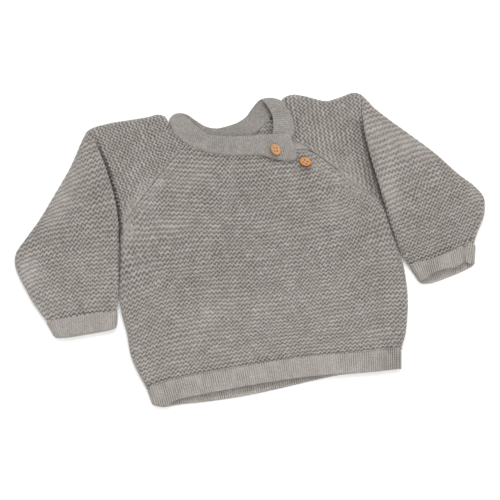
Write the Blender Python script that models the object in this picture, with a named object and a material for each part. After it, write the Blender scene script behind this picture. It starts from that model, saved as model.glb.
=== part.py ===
"""A baby's raglan sweater in garter stitch, laid flat on its back, with two buttons at the neck.

Every piece of cloth is a wall through a grid of middle points. Sizes are in millimetres and are
turned into metres when a mesh is made. Places on the garment are given as x, to the right of its
middle as it lies, up, from the hem towards the neck, and z, above the surface that it lies on.
"""

import math

import bpy
import numpy as np

MM = 0.001

# driving sizes
GARTER = 2.6  # wall of the garter stitch
RIB = 2.0  # wall of the rib bands
SEAM_GAP = 0.45  # between the edges of two pieces that are sewn together
UNDERARM_UP = 162.0  # from the hem to the underarm
ORIGIN_UP = 140.0  # the origin lies under the middle of the back
EDGE_Z = 4.3  # middle of the wall where the body or a sleeve turns over at its side
ROLL = 5.0  # width of that turn on the front layer
ROLL_BACK = 4.2  # and on the layer below
BAND_EDGE_Z = 2.7  # the same three for the rib bands
BAND_ROLL = 2.2
BAND_ROLL_BACK = 2.2
UPWARDS = (0.0, 1.0)
BUTTON_RADIUS = 5.7
BUTTON_THICK = 2.4
BUTTON_SIDES = 28
BUTTON_HOLE_RADIUS = 0.7
BUTTON_HOLE_SPREAD = 1.5  # from the button's middle to each hole, along both sides
TURN_STEPS = 4  # faces round the turn at an edge of a tube's front layer
BETWEEN_TURNS = 4  # places across that layer between the turns
FRONT_COLUMNS = 2 * (TURN_STEPS + 2) + BETWEEN_TURNS
PANEL_WIDTH = 240.0  # width at which the body's columns are spaced out
BAND_WIDTH = 224.0  # the same for the hem rib
PLACKET_WIDTH = 12.0
PLACKET_Z = 4.0  # middle of the placket's wall
PLACKET_LIFT_Z = 6.7  # middle of the front's wall where it lies over the placket
PLACKET_LIFT = ((56.0, 232.0), (83.0, 203.0))  # the line along which it does so
PLACKET_STATIONS = (3.9, 5.55)  # where the placket starts and ends along the right raglan
PLACKET_ACROSS = (-0.76, -0.65)  # its direction, away from that raglan


def table(columns, *rows):
    """Named columns of numbers, one row for each section, edge point or fold."""
    return {name: np.array(values, float) for name, values in zip(columns.split(), zip(*rows))}


# outline of the body at its two sides
BODY = table(
    "up left right",
    (-5.0, -110.5, 111.5),
    (10.0, -113.0, 114.0),
    (20.0, -116.0, 116.5),
    (30.0, -119.5, 121.0),
    (46.0, -124.0, 125.5),
    (64.0, -126.0, 129.3),
    (85.0, -128.7, 131.2),
    (102.0, -129.5, 131.2),
    (120.0, -127.4, 128.4),
    (140.0, -125.0, 126.0),
    (UNDERARM_UP, -123.0, 123.6),
)

# the hem rib across the body: its seam, and the lower edges of its front and back
HEM = table(
    "x seam_up front_up front_z back_up",
    (-113.0, 10.5, -3.5, 4.6, -3.8),
    (-104.0, 13.0, -6.5, 4.8, -6.8),
    (-90.0, 15.5, -5.0, 5.4, -6.6),
    (-71.0, 17.3, -2.7, 5.9, -7.0),
    (-37.0, 19.3, 0.2, 6.2, -6.6),
    (6.0, 21.4, 2.4, 6.2, -2.6),
    (32.0, 21.4, 2.8, 5.9, 0.2),
    (60.0, 20.3, 2.0, 5.2, 0.8),
    (90.0, 18.6, 0.4, 4.7, -0.4),
    (115.5, 17.5, 0.0, 4.6, -0.3),
)

# how high the middle of the front's wall lies, in its middle and near its sides
LAY = table(
    "up middle side",
    (10.0, 5.8, 7.0),
    (50.0, 5.2, 7.3),
    (110.0, 5.4, 7.5),
    (160.0, 5.6, 7.0),
    (200.0, 5.7, 6.2),
    (260.0, 6.0, 6.2),
)

# soft troughs in the front of the body
FOLDS = table(
    "x up to_x to_up width depth",
    (98.0, 148.0, 92.0, 60.0, 9.0, 1.3),
    (-78.0, 40.0, -104.0, 74.0, 10.0, 1.0),
    (-20.0, 60.0, 10.0, 30.0, 12.0, 0.5),
    (60.0, 40.0, 84.0, 66.0, 10.0, 0.7),
)

# raglan seams, from the underarm to the neck
FRONT_LEFT = table(
    "x up",
    (-120.6, 169.0), (-109.5, 184.5), (-97.0, 199.5), (-85.0, 213.5),
    (-73.0, 227.0), (-61.5, 238.5), (-52.0, 247.5),
)
FRONT_RIGHT = table(
    "x up",
    (120.3, 167.5), (108.5, 174.5), (97.5, 186.0), (88.0, 198.5),
    (79.0, 209.5), (66.0, 225.0), (52.5, 242.0),
)
BACK_LEFT = table(
    "x up",
    (-120.6, 169.0), (-110.0, 182.0), (-98.0, 196.5), (-86.5, 211.0),
    (-74.5, 226.5), (-63.5, 241.5), (-52.5, 257.0),
)
BACK_RIGHT = table(
    "x up",
    (120.3, 167.5), (106.0, 182.0), (92.0, 197.5), (77.5, 214.0),
    (63.0, 231.5), (48.5, 250.0), (34.0, 268.0),
)
# the front's own edge at the buttons, which lies over the placket
FRONT_EDGE = table(
    "x up",
    (120.3, 167.5), (108.5, 174.5), (97.5, 186.0), (88.0, 198.5),
    (79.0, 209.5), (70.0, 219.0), (63.5, 225.0),
)
FRONT_CORNER = (57.0, 227.6)

# the neckband, from the button tab along the front, over the left shoulder, round the back and
# over the right shoulder to its end under the tab: its seam and its free edge
NECK = table(
    "at seam_x seam_up seam_z edge_x edge_up edge_z",
    (0, 45.5, 220.8, 9.6, 47.3, 246.0, 9.7),
    (1, 37.0, 221.6, 9.6, 38.0, 246.8, 9.7),
    (2, 28.0, 225.2, 9.5, 29.0, 247.6, 9.6),
    (3, 18.0, 228.8, 8.8, 19.0, 248.3, 9.2),
    (4, 8.0, 229.6, 7.4, 8.0, 248.8, 8.4),
    (5, -6.0, 231.4, 6.4, -6.0, 250.0, 7.9),
    (6, -19.5, 234.6, 6.2, -18.0, 252.8, 7.8),
    (7, -31.0, 238.0, 6.2, -27.5, 255.2, 7.8),
    (8, -41.0, 243.2, 6.2, -34.5, 260.5, 7.8),
    (9, -50.5, 250.2, 6.2, -41.0, 268.4, 7.4),
    (10, -57.5, 258.6, 6.0, -45.3, 275.2, 6.8),
    (11, -61.8, 267.5, 5.6, -48.6, 280.6, 5.8),
    (12, -63.6, 276.5, 3.6, -50.8, 284.2, 3.8),
    (13, -60.5, 269.0, 1.4, -46.6, 281.4, 1.9),
    (14, -52.5, 258.6, 1.1, -39.6, 275.0, 1.7),
    (15, -42.0, 250.4, 1.1, -31.2, 267.3, 1.7),
    (16, -25.5, 244.0, 1.1, -21.5, 263.6, 1.7),
    (17, -9.0, 244.0, 1.1, -12.0, 264.0, 1.7),
    (18, 7.0, 247.9, 1.1, 0.0, 266.8, 1.7),
    (19, 21.0, 256.3, 1.1, 9.3, 272.0, 1.8),
    (20, 31.0, 266.4, 1.2, 15.6, 279.4, 2.1),
    (21, 38.5, 275.5, 1.7, 20.6, 285.0, 2.9),
    (22, 44.0, 283.6, 4.0, 25.5, 286.6, 4.6),
    (23, 47.6, 277.5, 6.0, 29.8, 280.6, 7.0),
    (24, 51.0, 266.0, 6.3, 33.6, 269.6, 7.4),
    (25, 52.6, 254.0, 6.1, 33.2, 258.2, 7.0),
    (26, 50.6, 244.8, 5.7, 31.0, 249.0, 6.2),
    (27, 47.6, 237.6, 5.3, 28.6, 241.0, 5.4),
)
NECK_MIDDLE = (-5.0, 262.0)
NECK_FRONT_LEFT, NECK_LEFT_FOLD, NECK_BACK_LEFT = 9.3, 12.0, 14.0
NECK_BACK_RIGHT, NECK_RIGHT_FOLD, NECK_FRONT_RIGHT = 20.2, 22.0, 26.0
NECK_TAB = 3.0
NECK_GAP = 0.6  # between the neckband and the pieces that it is sewn to
NECK_FOLD_GAP = 3.6  # how many times wider that gap is where the band folds over
NECK_CORNER = 0.04  # how far the corners of two pieces stay from the raglan, along the neckband
NECK_LEAN = 0.15  # how much of its slope a sleeve's wall keeps where it meets the neckband
FRONT_ALONG_NECK = 0.62  # share of the front's upper edge that the neckband is sewn to

# a sleeve's tube, a row for each section from the cuff to the fold at the shoulder: the edge
# next to the body, the outer edge, and how high the front layer lies near each of them
LEFT_TUBE = table(
    "in_x in_up out_x out_up in_z out_z bow",
    (-133.0, 88.5, -194.5, 87.2, 5.6, 5.4, 0.0),
    (-131.0, 100.0, -206.5, 104.5, 6.8, 6.4, 0.0),
    (-129.0, 116.0, -214.0, 121.5, 7.6, 6.8, 0.0),
    (-127.0, 132.0, -219.0, 137.0, 8.0, 7.0, 0.0),
    (-126.0, 145.0, -220.8, 148.0, 8.2, 7.0, 0.0),
    (-125.5, 154.0, -218.0, 158.8, 8.4, 7.0, 0.0),
    (-125.4, 160.0, -207.0, 170.5, 8.6, 7.0, 0.0),
    (-124.9, 163.0, -189.5, 187.5, 8.8, 7.0, 0.0),
    (-124.2, 165.2, -173.8, 207.5, 9.0, 7.0, 0.0),
    (-123.4, 167.0, -157.0, 237.0, 9.2, 7.0, 1.0),
    (-122.4, 168.6, -141.5, 268.0, 9.4, 6.8, 4.0),
)
RIGHT_TUBE = table(
    "in_x in_up out_x out_up in_z out_z bow",
    (137.0, 97.0, 200.3, 113.5, 5.8, 5.6, 0.0),
    (134.6, 101.5, 203.0, 119.5, 6.6, 6.2, 0.0),
    (132.6, 108.0, 208.0, 128.0, 7.2, 6.6, 0.0),
    (131.2, 118.0, 213.3, 137.0, 7.6, 6.8, 0.0),
    (129.8, 129.0, 216.8, 148.0, 7.8, 7.0, 0.0),
    (128.2, 140.0, 217.3, 158.5, 8.0, 7.0, 0.0),
    (126.8, 149.0, 211.0, 170.5, 8.2, 7.0, 0.0),
    (125.8, 156.0, 197.5, 186.3, 8.4, 7.0, 0.0),
    (125.3, 160.0, 181.8, 208.5, 8.6, 7.0, 0.0),
    (124.4, 163.4, 165.0, 228.0, 8.8, 7.0, 0.0),
    (123.3, 165.6, 148.0, 247.0, 9.0, 6.8, 1.0),
    (122.2, 167.2, 133.3, 264.5, 9.0, 6.6, 2.0),
)

# the cap of a sleeve above that fold, a row for each station of the raglan seams: the outline
# at the shoulder, and how high the front layer lies near the seam and near the outline
LEFT_CAP = table(
    "out_x out_up in_z out_z bow",
    (-136.5, 275.2, 5.8, 6.2, 4.0),
    (-121.0, 281.2, 5.7, 6.0, 2.0),
    (-107.0, 282.0, 5.7, 5.9, 0.0),
    (-94.0, 282.3, 5.7, 5.9, 0.0),
    (-83.0, 283.0, 5.8, 6.0, 0.0),
    (-74.0, 284.6, 5.9, 6.0, 0.0),
    (-65.0, 278.0, 6.0, 5.8, 0.0),
)
RIGHT_CAP = table(
    "out_x out_up in_z out_z bow",
    (127.8, 273.6, 5.8, 6.2, 2.0),
    (114.5, 284.0, 5.7, 6.0, 2.0),
    (102.5, 283.0, 5.7, 5.9, 0.0),
    (90.5, 280.2, 5.6, 5.7, 0.0),
    (77.5, 282.6, 5.6, 5.9, 0.0),
    (63.0, 288.6, 5.6, 6.1, 0.0),
    (45.5, 285.0, 5.8, 6.0, 0.0),
)

# the cuffs, from their seam to their mouth
LEFT_CUFF = table(
    "in_x in_up out_x out_up in_z out_z bow back_bow",
    (-133.2, 88.0, -194.2, 86.7, 5.0, 4.8, 0.0, 0.0),
    (-133.6, 79.5, -192.0, 78.0, 4.6, 4.5, 0.0, 0.0),
    (-135.6, 71.6, -189.5, 69.6, 4.4, 4.3, 0.0, 0.0),
)
RIGHT_CUFF = table(
    "in_x in_up out_x out_up in_z out_z bow back_bow",
    (137.3, 96.4, 200.1, 112.8, 5.4, 5.2, 0.0, 0.0),
    (140.0, 88.6, 197.6, 104.0, 7.4, 7.0, -1.0, 2.0),
    (143.8, 81.4, 194.4, 95.6, 9.2, 8.4, -3.4, 5.0),
)

# the buttons, each placed by the middle of its underside
BUTTONS = table("x up z", (31.2, 230.0, 10.9), (57.7, 213.0, 8.35))

# half of a button's section, from the middle of its underside to the middle of its top, as
# shares of its radius and of its thickness
BUTTON_PROFILE = table(
    "reach height",
    (0.0, 0.0), (0.82, 0.0), (0.97, 0.3), (1.0, 0.62),
    (0.94, 0.95), (0.84, 1.0), (0.74, 0.82), (0.0, 0.76),
)

CLOTH_COLOUR = (0.30, 0.275, 0.25, 1.0)
BAND_COLOUR = (0.33, 0.305, 0.28, 1.0)
WOOD_COLOUR = (0.76, 0.38, 0.12, 1.0)


def smooth(keys, values, at):
    """The value at a place between the rows of a table, on a smooth curve through them."""
    at = np.clip(np.asarray(at, float), keys[0], keys[-1])
    slopes = np.gradient(values, keys)
    i = np.clip(np.searchsorted(keys, at) - 1, 0, len(keys) - 2)
    span = keys[i + 1] - keys[i]
    t = (at - keys[i]) / span
    start = (1 + 2 * t) * (1 - t) ** 2 * values[i] + t * (1 - t) ** 2 * span * slopes[i]
    end = t * t * (3 - 2 * t) * values[i + 1] + t * t * (t - 1) * span * slopes[i + 1]
    return start + end


def ease(t):
    """0 to 1, with level ends."""
    t = np.clip(t, 0.0, 1.0)
    return t * t * (3 - 2 * t)


def quarter_round(t):
    """0 to 1 as a quarter of an ellipse: steep at first, then level."""
    t = np.clip(t, 0.0, 1.0)
    return np.sqrt(1 - (1 - t) ** 2)


def side_distance(x, up):
    """How far a place on the body is from the side seam, or from the underarm above it."""
    left = smooth(BODY["up"], BODY["left"], up)
    right = smooth(BODY["up"], BODY["right"], up)
    across = np.minimum(x - left, right - x) - GARTER / 2
    above = np.maximum(up - UNDERARM_UP, 0.0)
    return np.hypot(np.maximum(across, 0.0), above)


def beside_line(x, up, start, end):
    """How far along a straight line each place is, from 0 to 1, and how far away from it."""
    run, rise = end[0] - start[0], end[1] - start[1]
    along = ((x - start[0]) * run + (up - start[1]) * rise) / (run**2 + rise**2)
    along = np.clip(along, 0.0, 1.0)
    return along, np.hypot(x - start[0] - along * run, up - start[1] - along * rise)


def fold_depth(x, up):
    """How deep the soft troughs are at a place on the front."""
    depth = np.zeros(np.broadcast(x, up).shape)
    for from_x, from_up, to_x, to_up, width, deepest in zip(*FOLDS.values()):
        along, away = beside_line(x, up, (from_x, from_up), (to_x, to_up))
        depth += deepest * np.exp(-((away / width) ** 2)) * np.sin(np.pi * (0.1 + 0.8 * along))
    return depth


def placket_share(x, up):
    """1 where the front lies over the placket, falling to 0 around it."""
    along, away = beside_line(x, up, *PLACKET_LIFT)
    return 1 - ease(away / PLACKET_WIDTH - 1)


def front_height(x, up, over_placket=True):
    """Height of the middle of the front's wall."""
    distance = side_distance(x, up)
    middle = smooth(LAY["up"], LAY["middle"], up)
    side = smooth(LAY["up"], LAY["side"], up)
    top = middle + (side - middle) * (1 - ease((distance - 16.0) / 40.0)) - fold_depth(x, up)
    if over_placket:
        top = top + (PLACKET_LIFT_Z - top) * placket_share(x, up)
    return EDGE_Z + (top - EDGE_Z) * quarter_round(distance / ROLL)


def back_height(x, up):
    """Height of the middle of the back's wall, which turns up at the side."""
    low = GARTER / 2
    return low + (EDGE_Z - low) * (1 - quarter_round(side_distance(x, up) / ROLL_BACK))


def neck_seam(at):
    """Places beside the neckband's seam, a gap away from it on the side of the other pieces."""
    x = smooth(NECK["at"], NECK["seam_x"], at)
    up = smooth(NECK["at"], NECK["seam_up"], at)
    away = np.stack([x - NECK_MIDDLE[0], up - NECK_MIDDLE[1]])
    away = away / np.hypot(*away)
    folds = (NECK_LEFT_FOLD, NECK_RIGHT_FOLD)
    beside_fold = sum(np.exp(-(((at - fold) / 0.7) ** 2)) for fold in folds)
    apart = NECK_GAP * (1 + NECK_FOLD_GAP * beside_fold)
    return x + apart * away[0], up + apart * away[1]


def spread(width, near, inner):
    """Fractions across a strip: close together near both edges, where it turns, and even between."""
    near = np.asarray(near, float) / width
    between = np.linspace(near[-1], 1 - near[-1], inner + 2)[1:-1]
    return np.concatenate([near, between, 1 - near[::-1]])


def turn_steps(radius, steps=TURN_STEPS):
    """Distances from an edge where a quarter round of this width is cut into even angles."""
    return radius * (1 - np.cos(np.linspace(0.0, math.pi / 2, steps + 1)))


def grid_normals(points):
    """Normals at the points of a grid, from the faces around each."""
    across = points[:-1, 1:] - points[1:, :-1]
    along = points[1:, 1:] - points[:-1, :-1]
    faces = np.cross(across, along)
    faces /= np.linalg.norm(faces, axis=2, keepdims=True) + 1e-12
    normals = np.zeros_like(points)
    for i in (0, 1):
        for j in (0, 1):
            rows, columns = points.shape[0] - 1, points.shape[1] - 1
            normals[i : i + rows, j : j + columns] += faces
    return normals / np.linalg.norm(normals, axis=2, keepdims=True)


def material(name, colour, roughness):
    made = bpy.data.materials.get(name) or bpy.data.materials.new(name)
    made.use_nodes = True
    shader = made.node_tree.nodes["Principled BSDF"]
    shader.inputs["Base Color"].default_value = colour
    shader.inputs["Roughness"].default_value = roughness
    shader.inputs["Metallic"].default_value = 0.0
    return made


def add_object(name, vertices, faces, finish, flat_angle=math.radians(60)):
    """A named object from places on the garment, with its faces turned outwards."""
    placed = (np.asarray(vertices) - (0.0, ORIGIN_UP, 0.0)) * MM
    corners = [placed[list(face)] for face in faces]
    volume = sum(np.dot(c[0], np.cross(c[i], c[i + 1])) for c in corners for i in range(1, len(c) - 1))
    if volume < 0:
        faces = [face[::-1] for face in faces]
    mesh = bpy.data.meshes.new(name)
    mesh.from_pydata(placed.tolist(), [], [list(face) for face in faces])
    mesh.update()
    mesh.shade_smooth()
    mesh.set_sharp_from_angle(angle=flat_angle)
    mesh.materials.append(finish)
    made = bpy.data.objects.new(name, mesh)
    bpy.context.collection.objects.link(made)
    return made


def cloth(name, points, wall, finish, normals=None):
    """A closed wall of cloth through a grid of middle points, half of it to each side."""
    if normals is None:
        normals = grid_normals(points)
    rows, columns = points.shape[:2]
    outer = (points + normals * wall / 2).reshape(-1, 3)
    inner = (points - normals * wall / 2).reshape(-1, 3)
    below = len(outer)
    faces = []
    for i in range(rows - 1):
        for j in range(columns - 1):
            a, b = i * columns + j, (i + 1) * columns + j
            faces.append((a, a + 1, b + 1, b))
            faces.append((below + b, below + b + 1, below + a + 1, below + a))
    last = (rows - 1) * columns
    rim = [(j + 1, j) for j in range(columns - 1)]
    rim += [(last + j, last + j + 1) for j in range(columns - 1)]
    rim += [(i * columns, (i + 1) * columns) for i in range(rows - 1)]
    rim += [((i + 2) * columns - 1, (i + 1) * columns - 1) for i in range(rows - 1)]
    faces += [(a, b, below + b, below + a) for a, b in rim]
    return add_object(name, np.concatenate([outer, inner]), faces, finish)


def body_rows():
    """Left and right ends of the rows of the body below the underarm, at the middle of its wall."""
    half = GARTER / 2
    ups = np.array([30.0, 46.0, 64.0, 84.0, 104.0, 124.0, 143.0, 160.0])
    lefts = smooth(BODY["up"], BODY["left"], ups) + half
    rights = smooth(BODY["up"], BODY["right"], ups) - half
    start = HEM["seam_up"][[0, -1]] + SEAM_GAP / 2
    first_left = smooth(BODY["up"], BODY["left"], start[0]) + half
    first_right = smooth(BODY["up"], BODY["right"], start[1]) - half
    left = np.stack([np.append(first_left, lefts), np.append(start[0], ups)], axis=1)
    right = np.stack([np.append(first_right, rights), np.append(start[1], ups)], axis=1)
    return left, right


def patch(left, right, bottom, top, columns):
    """Places on a panel between its two sides and its lower and upper edges."""
    rise = (left[:, 1] + right[:, 1]) / 2
    v = ((rise - rise[0]) / (rise[-1] - rise[0]))[:, None, None]
    u = columns[None, :, None]
    between = (1 - v) * bottom[None] + v * top[None]
    left_off = left[:, None] - ((1 - v) * bottom[0] + v * top[0])
    right_off = right[:, None] - ((1 - v) * bottom[-1] + v * top[-1])
    return between + (1 - u) * left_off + u * right_off


def hem_edge(column, columns):
    """Places along one line of the hem rib, between the body's sides."""
    ends = [smooth(HEM["x"], HEM[column], x) for x in HEM["x"][[0, -1]]]
    half = GARTER / 2
    left = smooth(BODY["up"], BODY["left"], ends[0]) + half
    right = smooth(BODY["up"], BODY["right"], ends[1]) - half
    x = left + (right - left) * columns
    reach = np.interp(x, [left, right], HEM["x"][[0, -1]])
    return np.stack([x, smooth(HEM["x"], HEM[column], reach)], axis=1)


def level(normals, row, across):
    """Turns the normals of one row square to a direction, so that two pieces meet there evenly."""
    across = np.append(across, 0.0) / np.linalg.norm(across)
    normals[row] -= np.outer(normals[row] @ across, across)
    normals[row] /= np.linalg.norm(normals[row], axis=1, keepdims=True)


def front_top(columns):
    """The front's upper edge: along the neckband to the button tab, then straight to its corner."""
    on_band = np.count_nonzero(columns < FRONT_ALONG_NECK)
    x, up = neck_seam(np.linspace(NECK_FRONT_LEFT - NECK_CORNER, NECK_TAB, on_band))
    beyond = (columns[on_band:] - columns[on_band - 1]) / (1 - columns[on_band - 1])
    x = np.append(x, x[-1] + (FRONT_CORNER[0] - x[-1]) * beyond)
    up = np.append(up, up[-1] + (FRONT_CORNER[1] - up[-1]) * beyond)
    return np.stack([x, up], axis=1)


def back_top(columns):
    """The back's upper edge, along the neckband from one raglan to the other."""
    start, end = NECK_BACK_LEFT + NECK_CORNER, NECK_BACK_RIGHT - NECK_CORNER
    return np.stack(neck_seam(start + (end - start) * columns), axis=1)


def body_panel(name, raglan_left, raglan_right, top_edge, height, finish, upright):
    """The front or the back: rows from the hem seam to the underarm, then between the raglans."""
    columns = spread(PANEL_WIDTH, np.append(turn_steps(ROLL), [13.0, 24.0]), 9)
    left, right = body_rows()
    in_left = np.stack([raglan_left["x"] + SEAM_GAP / 2, raglan_left["up"] - SEAM_GAP / 2], axis=1)
    in_right = np.stack([raglan_right["x"] - SEAM_GAP / 2, raglan_right["up"] - SEAM_GAP / 2], axis=1)
    top = top_edge(columns)
    left = np.concatenate([left, in_left[:-1], top[:1]])
    right = np.concatenate([right, in_right[:-1], top[-1:]])
    bottom = hem_edge("seam_up", columns) + (0.0, SEAM_GAP / 2)
    plan = patch(left, right, bottom, top, columns)
    points = np.dstack([plan, height(plan[..., 0], plan[..., 1])])
    normals = grid_normals(points) * upright
    side_rows = len(body_rows()[0])
    level(normals, 0, UPWARDS)
    normals[:side_rows, 0] = (-1.0, 0.0, 0.0)
    normals[:side_rows, -1] = (1.0, 0.0, 0.0)
    normals[side_rows:, [0, -1]] = (0.0, 0.0, upright)
    normals[-1] = (0.0, 0.0, upright)
    points[:side_rows, [0, -1], 2] += upright * SEAM_GAP / 2
    return cloth(name, points, GARTER, finish, normals)


def front_panel(finish):
    return body_panel("front_panel", FRONT_LEFT, FRONT_EDGE, front_top, front_height, finish, 1.0)


def back_panel(finish):
    return body_panel("back_panel", BACK_LEFT, BACK_RIGHT, back_top, back_height, finish, -1.0)


def hem_band(name, edge, finish, upright):
    """The hem rib on the front or the back, from its seam to its lower edge."""
    columns = spread(BAND_WIDTH, np.append(turn_steps(BAND_ROLL), [10.0, 22.0]), 9)
    seam = hem_edge("seam_up", columns) - (0.0, SEAM_GAP / 2)
    free = hem_edge(edge, columns)
    down = np.linspace(0.0, 1.0, 4)[:, None, None]
    plan = seam + (free - seam) * down
    left, right = plan[:, :1, 0], plan[:, -1:, 0]
    distance = np.minimum(plan[..., 0] - left, right - plan[..., 0])
    if upright > 0:
        lift = smooth(HEM["x"], HEM["front_z"], free[:, 0]) - BAND_EDGE_Z
        start = front_height(seam[:, 0], seam[:, 1]) - BAND_EDGE_Z
        top = start + (lift - start) * ease(down[..., 0])
        z = BAND_EDGE_Z + np.maximum(top, 0.9) * quarter_round(distance / BAND_ROLL)
    else:
        z = RIB / 2 + (BAND_EDGE_Z - RIB / 2) * (1 - quarter_round(distance / BAND_ROLL_BACK))
    points = np.dstack([plan, z])
    normals = grid_normals(points) * upright
    level(normals, 0, UPWARDS)
    normals[:, 0] = (-1.0, 0.0, 0.0)
    normals[:, -1] = (1.0, 0.0, 0.0)
    points[:, [0, -1], 2] += upright * SEAM_GAP / 2
    return cloth(name, points, RIB, finish, normals)


def bowed(start, end, fractions, bow):
    """Places on a line between two places, its middle pushed to the right by the bow."""
    line = start + (end - start) * fractions[:, None]
    direction = (end - start) / np.linalg.norm(end - start)
    sideways = np.array([direction[1], -direction[0]])
    if sideways[0] < 0:
        sideways = -sideways
    return line + sideways * (bow * 4 * fractions * (1 - fractions))[:, None]


def section(sizes, k, seam, back, **more):
    """The sizes of one section of a flat tube, from a row of its table and its two seams."""
    fold = np.array([sizes["out_x"][k], sizes["out_up"][k]])
    row = {"seam": seam, "fold": fold, "back": back, "back_bow": 0.0}
    row.update({name: sizes[name][k] for name in ("in_z", "out_z", "bow")})
    row.update(more)
    return row


def flat_tube_row(row, half, edge_z, roll, roll_back, seam_z, seam_roll):
    """One section of a tube of cloth that lies flat, from its seam over the front and back again.

    seam_z is where the front layer starts and seam_roll says how much it turns up there: 1 at an
    underarm seam, 0 at a raglan seam.
    """
    seam, fold, back = row["seam"], row["fold"], row["back"]
    width = np.linalg.norm(fold - seam)
    steps = turn_steps(roll)
    front = spread(width, np.append(steps, 10.0), BETWEEN_TURNS)
    under = spread(width, np.append(turn_steps(roll_back, 3), 9.0), 3)[1:]
    outward = (fold - seam) / width
    edge = fold - outward * half
    front_plan = bowed(seam, edge, front, row["bow"])
    from_seam, from_fold = front * width, (1 - front) * width
    top = row["in_z"] + (row["out_z"] - row["in_z"]) * front
    turned = quarter_round(from_seam / roll)
    eased = ease(from_seam / 15.0)
    top = seam_z + (top - seam_z) * (seam_roll * turned + (1 - seam_roll) * eased)
    front_z = edge_z + (top - edge_z) * quarter_round(from_fold / roll)
    back_plan = bowed(edge, back, under, row["back_bow"])
    back_width = np.linalg.norm(back - edge)
    off_fold, off_seam = under * back_width, (1 - under) * back_width
    raised = 1 - quarter_round(off_fold / roll_back)
    raised = raised + seam_roll * (1 - quarter_round(off_seam / roll_back))
    back_z = half + (edge_z - half) * raised
    front_part = np.column_stack([front_plan, front_z])
    return np.concatenate([front_part, np.column_stack([back_plan, back_z])])


def sleeve(name, tube, cap, front_seam, back_seam, neck, finish):
    """A sleeve: the tube below the underarm, its fold at the shoulder, and the cap up to the neck.

    neck holds where the neckband's seam leaves the front seam, the shoulder and the back seam.
    """
    half = GARTER / 2
    tube_rows, cap_rows = len(tube["in_x"]), len(cap["out_x"])
    toward_body = -np.sign(tube["in_x"][0])
    rows, turned_rows = [], []
    for k in range(tube_rows):
        seam = np.array([tube["in_x"][k] - toward_body * half, tube["in_up"][k]])
        fan = ease((tube["in_up"][k] - UNDERARM_UP + 4.0) / 10.0)
        start_z = float(front_height(front_seam["x"][0], front_seam["up"][0]))
        seam_z = EDGE_Z + (start_z - EDGE_Z) * fan
        row = section(tube, k, seam, seam)
        rows.append(flat_tube_row(row, half, EDGE_Z, ROLL, ROLL_BACK, seam_z, 1.0 - fan))
        turned_rows.append(1.0 - fan)
    beside = np.array([-toward_body, 1.0]) * SEAM_GAP / 2
    for k in range(cap_rows):
        seam = np.array([front_seam["x"][k], front_seam["up"][k]]) + beside
        back = np.array([back_seam["x"][k], back_seam["up"][k]]) + beside
        seam_z = float(front_height(seam[0], seam[1], over_placket=False))
        row = section(cap, k, seam, back)
        rows.append(flat_tube_row(row, half, EDGE_Z, ROLL, ROLL_BACK, seam_z, 0.0))
        turned_rows.append(0.0)
    points = np.array(rows)
    along_neck(points, neck)
    normals = grid_normals(points)
    if normals[tube_rows, 5, 2] < 0:
        normals = -normals
    level(normals, 0, square_to(tube))
    for k, turned in enumerate(turned_rows):
        sideways = np.array([toward_body, 0.0, 0.0])
        for column, upright in ((0, 1.0), (-1, -1.0)):
            normal = sideways * turned + np.array([0.0, 0.0, upright]) * (1.0 - turned)
            normals[k, column] = normal / np.linalg.norm(normal)
            points[k, column, 2] += upright * turned * SEAM_GAP / 2
    normals[-1, :, :2] *= NECK_LEAN
    normals[-1] /= np.linalg.norm(normals[-1], axis=1, keepdims=True)
    return cloth(name, points, GARTER, finish, normals)


def square_to(sizes):
    """The direction square to the seam between a sleeve and its cuff."""
    return sizes["out_up"][0] - sizes["in_up"][0], sizes["in_x"][0] - sizes["out_x"][0]


def along_neck(points, neck):
    """Lays the last row of a sleeve along the neckband's seam."""
    seam_from, fold, seam_to = neck
    front_share = np.linspace(0.0, 1.0, FRONT_COLUMNS)
    back_share = np.linspace(0.0, 1.0, points.shape[1] - FRONT_COLUMNS + 1)[1:]
    on_front = seam_from + (fold - seam_from) * front_share
    on_back = fold + (seam_to - fold) * back_share
    at = np.concatenate([on_front, on_back])
    x, up = neck_seam(at)
    points[-1, :, 0], points[-1, :, 1] = x, up


def cuff(name, sizes, finish):
    """A rib cuff: a short flat tube with its mouth open as far as it lies."""
    toward_body = -np.sign(sizes["in_x"][0])
    rows = []
    for k in range(len(sizes["in_x"])):
        seam = np.array([sizes["in_x"][k] - toward_body * GARTER / 2, sizes["in_up"][k]])
        row = section(sizes, k, seam, seam, back_bow=sizes["back_bow"][k])
        row = flat_tube_row(row, RIB / 2, BAND_EDGE_Z, BAND_ROLL, BAND_ROLL_BACK, BAND_EDGE_Z, 1.0)
        rows.append(row)
    points = np.array(rows)
    normals = grid_normals(points)
    if normals[1, 5, 2] < 0:
        normals = -normals
    level(normals, 0, square_to(sizes))
    normals[:, [0, -1]] = (toward_body, 0.0, 0.0)
    points[:, 0, 2] += SEAM_GAP / 2
    points[:, -1, 2] -= SEAM_GAP / 2
    return cloth(name, points, RIB, finish, normals)


def neckband(finish):
    """The neck rib: one strip from the button tab round the neck to its end under the tab."""
    at = np.linspace(NECK["at"][0], NECK["at"][-1], 64)
    seam, edge = (
        np.stack([smooth(NECK["at"], NECK[line + axis], at) for axis in ("_x", "_up", "_z")], axis=1)
        for line in ("seam", "edge")
    )
    across = np.linspace(0.0, 1.0, 4)[None, :, None]
    points = seam[:, None] + (edge - seam)[:, None] * across
    return cloth("neckband", points, RIB, finish)


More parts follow.
